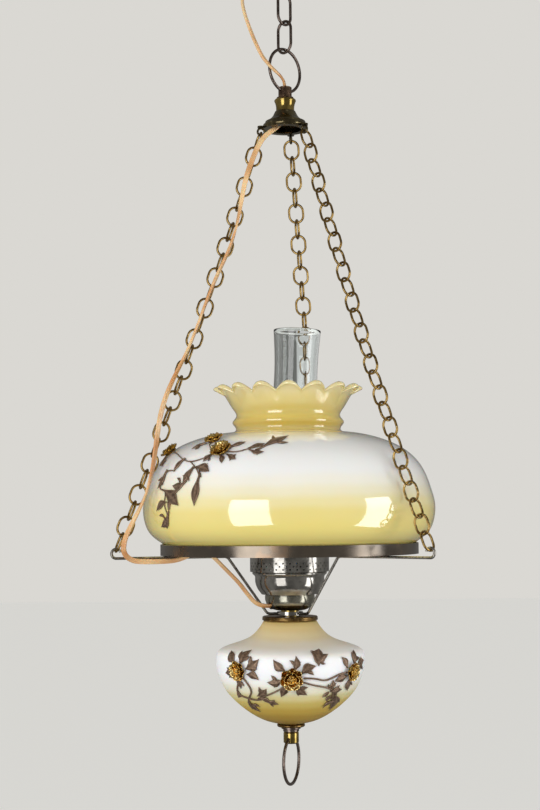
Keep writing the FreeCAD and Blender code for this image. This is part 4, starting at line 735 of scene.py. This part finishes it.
# Side lobes of an ivy leaf: where they start along the blade, their turn and their width
LOBE_START, LOBE_TURN, LOBE_WIDE = 0.24, math.radians(50), 0.80
STEM_RADII = {"shade": 0.60, "font": 0.90}
STEM_AROUND = 8
WORN_STEM = 0.45


def leaf_loops(seat, leaves, form):
    """Closed loops of all the leaves of one glass.

    Middle line: stalk + along * v + across * bend * sin(pi v), where the stalk starts a root
    before its given place. The half width is a smooth curve through the table, whose marks are
    raised to a power below 1, so that the blade keeps to the tip. Two leaves of three are lobed
    like ivy: a shorter lobe stands out at each side. The leaf thins towards its tip, is thicker
    along the midrib by ridge * (1 - |u|) and curls off the glass by curl * v^3, in millimetres.
    """
    wide, power, long = form
    face, level, _ = seat
    table = np.array(leaves)
    stalk = at_share(*seat, table[:, 0], table[:, 1])
    tip = at_share(*seat, table[:, 2], table[:, 3])
    _, normal = on_glass(face, level, (stalk + tip) / 2, np.zeros(len(table)))
    along = (tip - stalk) * (1 + LEAF_ROOT)
    stalk = tip - along
    beside = np.cross(normal, along)
    half = table[:, 4:] * wide * np.linalg.norm(along, axis=-1, keepdims=True)
    lobed = np.arange(len(table)) % 3 > 0
    rows = [(stalk, along, beside, half)]
    for side in (-1, 1):
        away = long * (math.cos(LOBE_TURN) * along + side * math.sin(LOBE_TURN) * beside)
        out = long * (math.cos(LOBE_TURN) * beside - side * math.sin(LOBE_TURN) * along)
        rows.append(tuple(part[lobed] for part in (
            stalk + LOBE_START ** power * along, away, out, half * LOBE_WIDE * long)))
    stalk, along, beside, half = (np.concatenate(parts)[:, None, None] for parts in zip(*rows))
    order = np.arange(len(stalk))[:, None, None]
    v = np.linspace(0, 1, LEAF_STATIONS)[None, :, None]
    u = np.linspace(-1, 1, LEAF_ACROSS)[None, None]
    width = spline(LEAF_HALF[:, 1:], LEAF_HALF[:, 0] ** power, LEAF_STATIONS).T[..., None] * half[..., 0]
    bend = LEAF_BEND * np.sin(2.4 * order + 0.6) * np.sin(math.pi * v)
    spots = stalk + along * v[..., None] + beside * bend[..., None] + unit(beside) * (u * width)[..., None]
    curl = LEAF_CURL * v ** 3 + 0 * u + 0 * order
    thick = LEAF_THICK + LEAF_RIDGE * (1 - np.abs(u)) + LEAF_VEIN * np.cos(3 * math.pi * u)
    thick = thick * (1 - LEAF_THINNING * v ** 3)
    top, _ = on_glass(face, level, spots, LEAF_GAP + curl + thick)
    under, _ = on_glass(face, level, spots, LEAF_GAP + curl)
    # The mark is a painted highlight with some wear, bright on the midrib and edges; the underside on the
    # glass gets none, as painted shade
    worn = BLADE_SHEEN_WEAR + RIDGE_SHEEN_WEAR * (1 - np.abs(u)) ** 2 + EDGE_SHEEN_WEAR * np.abs(u) ** 4 + 0 * curl
    bright = np.concatenate([worn, 0 * worn], -1)
    loops = np.concatenate([top, under[:, :, ::-1]], 2)
    return np.concatenate([loops, bright[..., None] / MM], -1) * MM


def stem_loops(seat, stem, thick):
    """Loops of one round stem that follows the glass through its given places."""
    spots = at_share(*seat, *np.array(stem).T)
    line = spline(spots, run_marks(spots), 12 * (len(spots) - 1) + 1)
    line, normal = on_glass(*seat[:2], line, LEAF_GAP + thick + 0 * line[..., 0])
    angle = circle(STEM_AROUND)
    ring = thick * np.stack([np.cos(angle), np.sin(angle)], -1)
    loops = swept(line, ring, np.cross(normal, np.gradient(line, axis=0)))
    return np.concatenate([loops, np.full((*loops.shape[:2], 1), WORN_STEM) / MM], -1) * MM


def joined(name, groups, material, replaced):
    """One mesh object on the lamp from several stacks of loops of different sizes."""
    points, faces, start_at = [], [], 0
    for loops in groups:
        spots, sides = shell(loops)
        points.append(spots)
        faces += [[corner + start_at for corner in side] for side in sides]
        start_at += len(spots)
    finished(name, np.concatenate(points), faces, material, "lamp", replaced)


# %% [markdown]
# ## Gilt flowers
# Each flower is a rosette of thin cast petals in four rings, from flat and wide outside to small
# and upright in the middle, round a knot of beads. A petal is a closed shell too. Gold is bright
# at the tips as a painted highlight, and gives way to dark lacquer and painted shade in the
# hollows, on the undersides and on the low dome under the petals.

# %% Flowers
FLOWER_RADIUS = 10.8
PETAL_THICK, PETAL_LIFT = 0.45, 0.9
PETAL_STATIONS, PETAL_ACROSS = 9, 7
# Rise of the sides and of the tip, fall back of the sides, frill, as shares of width and length
PETAL_CUP, PETAL_CURL, PETAL_BACK, PETAL_FRILL = 0.3, 0.18, 0.16, 0.05
# How far a flower is turned from the one before, and how far its petals stray, in radians
FLOWER_TURN, PETAL_STRAY = 0.7, 0.12
TILT_STRAY = 6
# count, foot of the petal, its length and half width as shares of the radius, tilt in degrees
PETAL_RINGS = (
    (7, 0.34, 0.62, 0.44, 12.0), (7, 0.20, 0.54, 0.38, 34.0), (6, 0.10, 0.42, 0.28, 55.0),
    (5, 0.04, 0.28, 0.17, 74.0),
)
BEAD_RADIUS = 0.95
# Shares of the flower's radius: rise of the middle bead, reach and rise of the six round it
KNOT_TOP, KNOT_REACH, KNOT_RISE = 0.36, 0.17, 0.30
KNOT_GOLD = 0.9
# The dome under the petals: radius as a share of the flower's, rise in millimetres, flatness
DOME_RADIUS, DOME_RISE, DOME_FLAT = 0.62, 0.55, 0.24
# The dome's low mark is painted shade under the petals
DOME_SHADED_GOLD = 0.2
BALL_RINGS, BALL_AROUND = 7, 10
# Angle from a ball's pole to its last ring
BALL_END = 0.12


def flower_frames(seat, flowers):
    """For each flower its place, normal, level way, the way across that, and its radius."""
    table = np.array(flowers)
    spots = at_share(*seat, table[:, 0], table[:, 1])
    spots, normal = on_glass(*seat[:2], spots, np.full(len(table), LEAF_GAP))
    level_way = unit(np.cross((0.0, 0.0, 1.0), normal))
    return zip(spots, normal, level_way, np.cross(normal, level_way), FLOWER_RADIUS * table[:, 2])


def petal_loops(seat, flowers):
    """Closed loops of every petal.

    At share v of its length and u across, a petal stands out by foot + L v cos(tilt) and rises by
    L v sin(tilt), with a cup of C W u^2, a curl of K L v^3 and a frill sin(7 u + phase). Its half
    width is W sin(pi (0.12 + 0.8 v))^0.6. Sines of the petal's number make it stray.
    """
    v = np.linspace(0, 1, PETAL_STATIONS)[:, None]
    u = np.linspace(-1, 1, PETAL_ACROSS)[None]
    loops = []
    for flower, (spot, normal, level_way, other_way, radius) in enumerate(flower_frames(seat, flowers)):
        for ring, (count, foot, length, half, tilt) in enumerate(PETAL_RINGS):
            for petal in range(count):
                turn = (2 * math.pi * (petal + 0.5 * (ring % 2)) / count + FLOWER_TURN * flower
                        + PETAL_STRAY * math.sin(5 * petal))
                lean = math.radians(tilt + TILT_STRAY * math.sin(3.1 * petal + ring))
                way = math.cos(turn) * level_way + math.sin(turn) * other_way
                beside = math.cos(turn) * other_way - math.sin(turn) * level_way
                long, wide = length * radius, half * radius
                frill = PETAL_FRILL * long * np.sin(7 * u + petal) * v
                rise = (long * v * math.sin(lean) + PETAL_CUP * wide * u ** 2
                        + PETAL_CURL * long * v ** 3 + frill)
                out = foot * radius + long * v * math.cos(lean) - PETAL_BACK * wide * u ** 2
                side = wide * np.sin(math.pi * (0.12 + 0.8 * v)) ** 0.6 * u
                sides = []
                for drop, columns in ((0.0, slice(None)), (PETAL_THICK, slice(None, None, -1))):
                    over = (rise + PETAL_LIFT - drop * math.cos(lean))[:, columns, None]
                    away = (out + drop * math.sin(lean))[:, columns, None]
                    across = side[:, columns, None]
                    sides.append(spot + away * way + across * beside + over * normal)
                # Gold mark: a painted highlight towards the tips, painted shade towards the roots and, at
                # three tenths, on the underside
                gold = (0.12 + 0.88 * v ** 0.8) * (0.75 + 0.25 * np.abs(u))
                bright = np.concatenate([gold, 0.3 * gold], 1)
                sides = np.concatenate(sides, 1)
                loops.append(np.concatenate([sides, bright[..., None] / MM], -1) * MM)
    return np.array(loops)


def bead_loops(seat, flowers):
    """Closed loops of round beads: a knot of seven on each flower and a low dome under its petals."""
    fall = np.linspace(BALL_END, math.pi - BALL_END, BALL_RINGS)[:, None]
    turn = circle(BALL_AROUND)[None]
    loops = []
    for spot, normal, level_way, other_way, radius in flower_frames(seat, flowers):
        ways = level_way, other_way, normal
        knot = [(0.0, 0.0, KNOT_TOP * radius, BEAD_RADIUS, 1.0, KNOT_GOLD)]
        knot += [(KNOT_REACH * radius, bead * math.pi / 3, KNOT_RISE * radius, BEAD_RADIUS, 1.0, KNOT_GOLD)
                 for bead in range(6)]
        knot.append((0.0, 0.0, DOME_RISE, DOME_RADIUS * radius, DOME_FLAT, DOME_SHADED_GOLD))
        for away, bearing, height, size, flat, bright in knot:
            middle = (away * math.cos(bearing), away * math.sin(bearing), height)
            ball = (np.sin(fall) * np.cos(turn), np.sin(fall) * np.sin(turn),
                    flat * np.cos(fall) + 0 * turn)
            place = sum((size * part + shift)[..., None] * way
                        for part, shift, way in zip(ball, middle, ways))
            gold = np.full((*place.shape[:2], 1), bright)
            loops.append(np.concatenate([place + spot, gold / MM], -1) * MM)
    return np.array(loops)


def painted_light_and_wear(tree, grain, drift):
    """The shape's own mark, made uneven by a grain: painted highlight, painted shade and wear."""
    mark = add(tree, "Attribute", attribute_name="mark")
    sway = spread(tree, grain, new=(-drift, drift))
    return add(tree, "Math", links={0: (mark, "Fac"), 1: (sway, 0)}, operation="ADD", use_clamp=True)


gilt, tree, shader, where = start("gilt_cast_lacquered")
grain = noise(tree, where, 1.6, 4.0)
share = (painted_light_and_wear(tree, grain, 0.35), 0)
# From dark lacquer and painted shade in the hollows to the painted highlight at the tips
tone = ramp(tree, share, ((0.12, "#583A10"), (0.45, "#E4AE40"), (0.78, "#FFE49C")))
emboss(tree, shader, grain, 0.5, 0.25)
put(shader, Base_Color=(tone, 0), Metallic=1.0, Roughness=0.26)

# %% [markdown]
# ## Brown bronze leaves
# The leaves and stems are a brown lacquered bronze. Their mark is bright on the midrib and along
# the edges, a painted highlight together with lacquer rubbed thin by handling, and dark under the
# leaves as painted shade.

# %% Leaves, stems and flowers on the glass
leaf_bronze, tree, shader, where = start("bronze_cast_brown_lacquer")
grain = noise(tree, where, 2.4, 5.0, Roughness=0.65)
share = spread(tree, (painted_light_and_wear(tree, grain, 0.4), 0), (0.15, 0.85))
# Dark tone for painted shade under the leaves, pale tone for the painted highlight and wear
tone = blend_colours(tree, (share, 0), "#3A2920", "#B4967C")
emboss(tree, shader, grain, 0.6, 0.3)
put(shader, Base_Color=(tone, MIXED), Metallic=0.55, Roughness=0.38)

for place, seat, leaves, stems, flowers in (
    ("shade", SHADE_SEAT, SHADE_LEAVES, SHADE_STEMS, SHADE_FLOWERS),
    ("font", FONT_SEAT, FONT_LEAVES, FONT_STEMS, FONT_FLOWERS),
):
    sprays = [leaf_loops(seat, leaves, LEAF_FORMS[place])]
    sprays += [stem_loops(seat, stem, STEM_RADII[place])[None] for stem in stems]
    joined(place + "_sprays", sprays, leaf_bronze, place + "_leaves")
    rosettes = [petal_loops(seat, flowers), bead_loops(seat, flowers)]
    joined(place + "_rosettes", rosettes, gilt, place + "_flowers")

# %% [markdown]
# ## Metals
# The frame's own solids keep their shapes and get their metals here. Every metal drifts between
# two tones in patches, shows a third one where it is worn, and is dull or bright with the same
# wear. Pieces made on a lathe also carry its fine rings, a noise read at the distance from the
# lamp's axis and the height, so it runs round the piece.

# %% Metals
METALS = {
    # name: deep tone, pale tone, worn tone, start of wear, patch in millimetres,
    # roughness low and high, whether it shows lathe rings, and the nodes that have it
    "bronze_dark_patina": ("#5A4E48", "#8A7C74", "#B4A294", 0.60, 9.0, (0.20, 0.38), False,
        ("canopy_loop", "link_1", "link_2", "link_3", "hang_ring", "pull_ring", "finial_step")),
    "bronze_olive_patina": ("#564C38", "#7E7354", "#B4A880", 0.60, 14.0, (0.12, 0.30), True,
        ("canopy", "hanger_plate")),
    "copper_brown_collar": ("#5A463A", "#8A705C", "#C8A67C", 0.60, 7.0, (0.20, 0.38), True,
        ("ring_collar",)),
    "brass_polished": ("#85713C", "#BBA15C", "#6C5A2C", 0.66, 12.0, (0.06, 0.18), True,
        ("collar_neck", "finial_knob", "font_bushing", "socket_shell", "socket_contact")),
    "brass_antique_chain": ("#886C3C", "#BE9E60", "#E0C894", 0.58, 9.0, (0.16, 0.30), False,
        ("chain_rear", "chain_left", "chain_right")),
    "brass_dull_brown": ("#6A5230", "#94784A", "#B89C6A", 0.60, 11.0, (0.22, 0.40), True,
        ("font_cap", "font_washer")),
    "nickel_bright": ("#8C8984", "#BAB7B1", "#6C6962", 0.66, 16.0, (0.07, 0.20), True,
        ("burner_gallery", "burner_bowl", "arm_collar")),
    "nickel_tarnished": ("#848276", "#ACA99A", "#64625A", 0.64, 16.0, (0.14, 0.28), True,
        ("burner_cup",)),
    "nickel_wire": ("#84807A", "#B4B0A8", "#5E5850", 0.60, 8.0, (0.14, 0.34), False,
        ("arm_rear", "arm_left", "arm_right")),
    "nickel_worn_to_copper": ("#66605A", "#8E8274", "#A88A70", 0.54, 120.0, (0.16, 0.32), True,
        ("shade_band",)),
    "steel_zinc_plated": ("#8E9294", "#B4B8B8", "#9A9C84", 0.56, 10.0, (0.30, 0.52), False,
        ("crossbar", "nipple", "nipple_nut", "font_rod", "rod_nut")),
    "aluminium_pressed": ("#B0B2B4", "#CCCED0", "#86888A", 0.64, 9.0, (0.24, 0.40), True,
        ("bulb_base",)),
}
# Distance between lathe rings, their depth, and that of the worn spots elsewhere, millimetres
LATHE_PITCH, LATHE_DEPTH, SPOT_DEPTH = 0.35, 0.02, 0.06
# Spans of noise over which the tone, the wear and the roughness change
TONE_SPAN, WEAR_SPAN, DULL_SPAN = (0.38, 0.62), 0.16, (0.3, 0.7)
# Worn spots are this many times as fine as the patches
SPOTS_FINER = 3.5


def metal(name, deep, pale, worn, worn_from, patch, rough, lathe):
    """A metal with patches of two tones, worn spots, roughness that follows them and a fine relief."""
    material, tree, shader, where = start(name)
    share = spread(tree, noise(tree, where, patch, 4.0, Roughness=0.6), TONE_SPAN)
    tone = blend_colours(tree, (share, 0), deep, pale)
    spots = noise(tree, where, patch, 3.0 if lathe else 6.0, SPOTS_FINER)
    wear = spread(tree, spots, (worn_from, worn_from + WEAR_SPAN))
    colour = blend_colours(tree, (wear, 0), (tone, MIXED), worn)
    dull = spread(tree, spots, DULL_SPAN, rough)
    relief, depth = spots, SPOT_DEPTH
    if lathe:
        flat = add(tree, "VectorMath", {1: (1.0, 1.0, 0.0)}, {0: where}, operation="MULTIPLY")
        away = add(tree, "VectorMath", links={0: (flat, 0)}, operation="LENGTH")
        height = add(tree, "SeparateXYZ", links={0: where})
        rings = add(tree, "CombineXYZ", links={0: (away, "Value"), 2: (height, "Z")})
        relief, depth = noise(tree, (rings, 0), LATHE_PITCH, 2.0), LATHE_DEPTH
    emboss(tree, shader, relief, 0.4, depth)
    put(shader, Base_Color=(colour, MIXED), Metallic=1.0, Roughness=(dull, 0))
    return material


for name, (*values, metal_nodes) in METALS.items():
    finish = metal(name, *values)
    for node in metal_nodes:
        nodes[node].material_slots[0].material = finish

# %% [markdown]
# ## Bell cap
# The cap below the neck was spun from thin sheet over a former: a cone that ends in two steps
# and a short skirt. Its outline goes down the outside and back up the inside.

# %% Bell cap
CAP_TOP = -213.95
CAP_OUTLINE = np.array([
    (10.5, 0.0), (10.7, -0.2), (11.5, -1.9), (13.0, -4.9), (14.8, -7.2), (17.4, -9.3),
    (19.6, -10.6), (20.9, -11.0), (21.1, -11.3), (21.1, -12.9), (21.3, -13.2), (23.1, -14.2),
    (23.4, -14.6), (23.4, -17.3), (23.2, -17.5), (22.3, -17.5), (22.1, -17.3), (22.1, -15.3),
    (19.8, -13.7), (18.8, -12.2), (16.6, -10.8), (13.8, -8.6), (11.7, -6.1), (10.1, -3.2),
    (5.5, -3.0), (5.5, 0.0)])
piece("bell_cap_spun", turned(CAP_OUTLINE, CAP_TOP), bpy.data.materials["bronze_olive_patina"],
      "lamp", "bell_cap", ring=True)

# %% [markdown]
# ## Moulded parts and the bulb
# The grommet is soft black rubber and the socket's insulator brown-black phenolic, which is
# harder and shinier. The bulb is frosted inside, so it scatters light without showing its wires.

# %% Rubber, phenolic and frosted glass
# node, material, deep tone, pale tone, roughness, depth of the grain in millimetres
MOULDED = (
    ("cord_grommet", "rubber_black_grommet", "#121212", "#242322", 0.55, 0.12),
    ("socket_insulator", "phenolic_brown_black", "#191210", "#2A201C", 0.3, 0.05),
)
MOULD_GRAIN, MOULD_DRIFT = 1.2, 0.12
for node, name, deep, pale, rough, depth in MOULDED:
    moulded, tree, shader, where = start(name)
    grain = noise(tree, where, MOULD_GRAIN, 4.0)
    tone = blend_colours(tree, grain, deep, pale)
    dull = spread(tree, grain, new=(rough - MOULD_DRIFT, rough + MOULD_DRIFT))
    emboss(tree, shader, grain, 0.5, depth)
    put(shader, Base_Color=(tone, MIXED), Roughness=(dull, 0))
    nodes[node].material_slots[0].material = moulded

frosted, tree, shader, where = start("bulb_glass_frosted")
haze = noise(tree, where, 12, 3.0)
tone = blend_colours(tree, haze, "#E4E4DE", "#F4F3EF")
dull = spread(tree, haze, new=(0.22, 0.42))
put(shader, Base_Color=(tone, MIXED), Roughness=(dull, 0), Subsurface_Weight=0.3,
    Subsurface_Scale=3 * MM)
nodes["bulb_glass"].material_slots[0].material = frosted
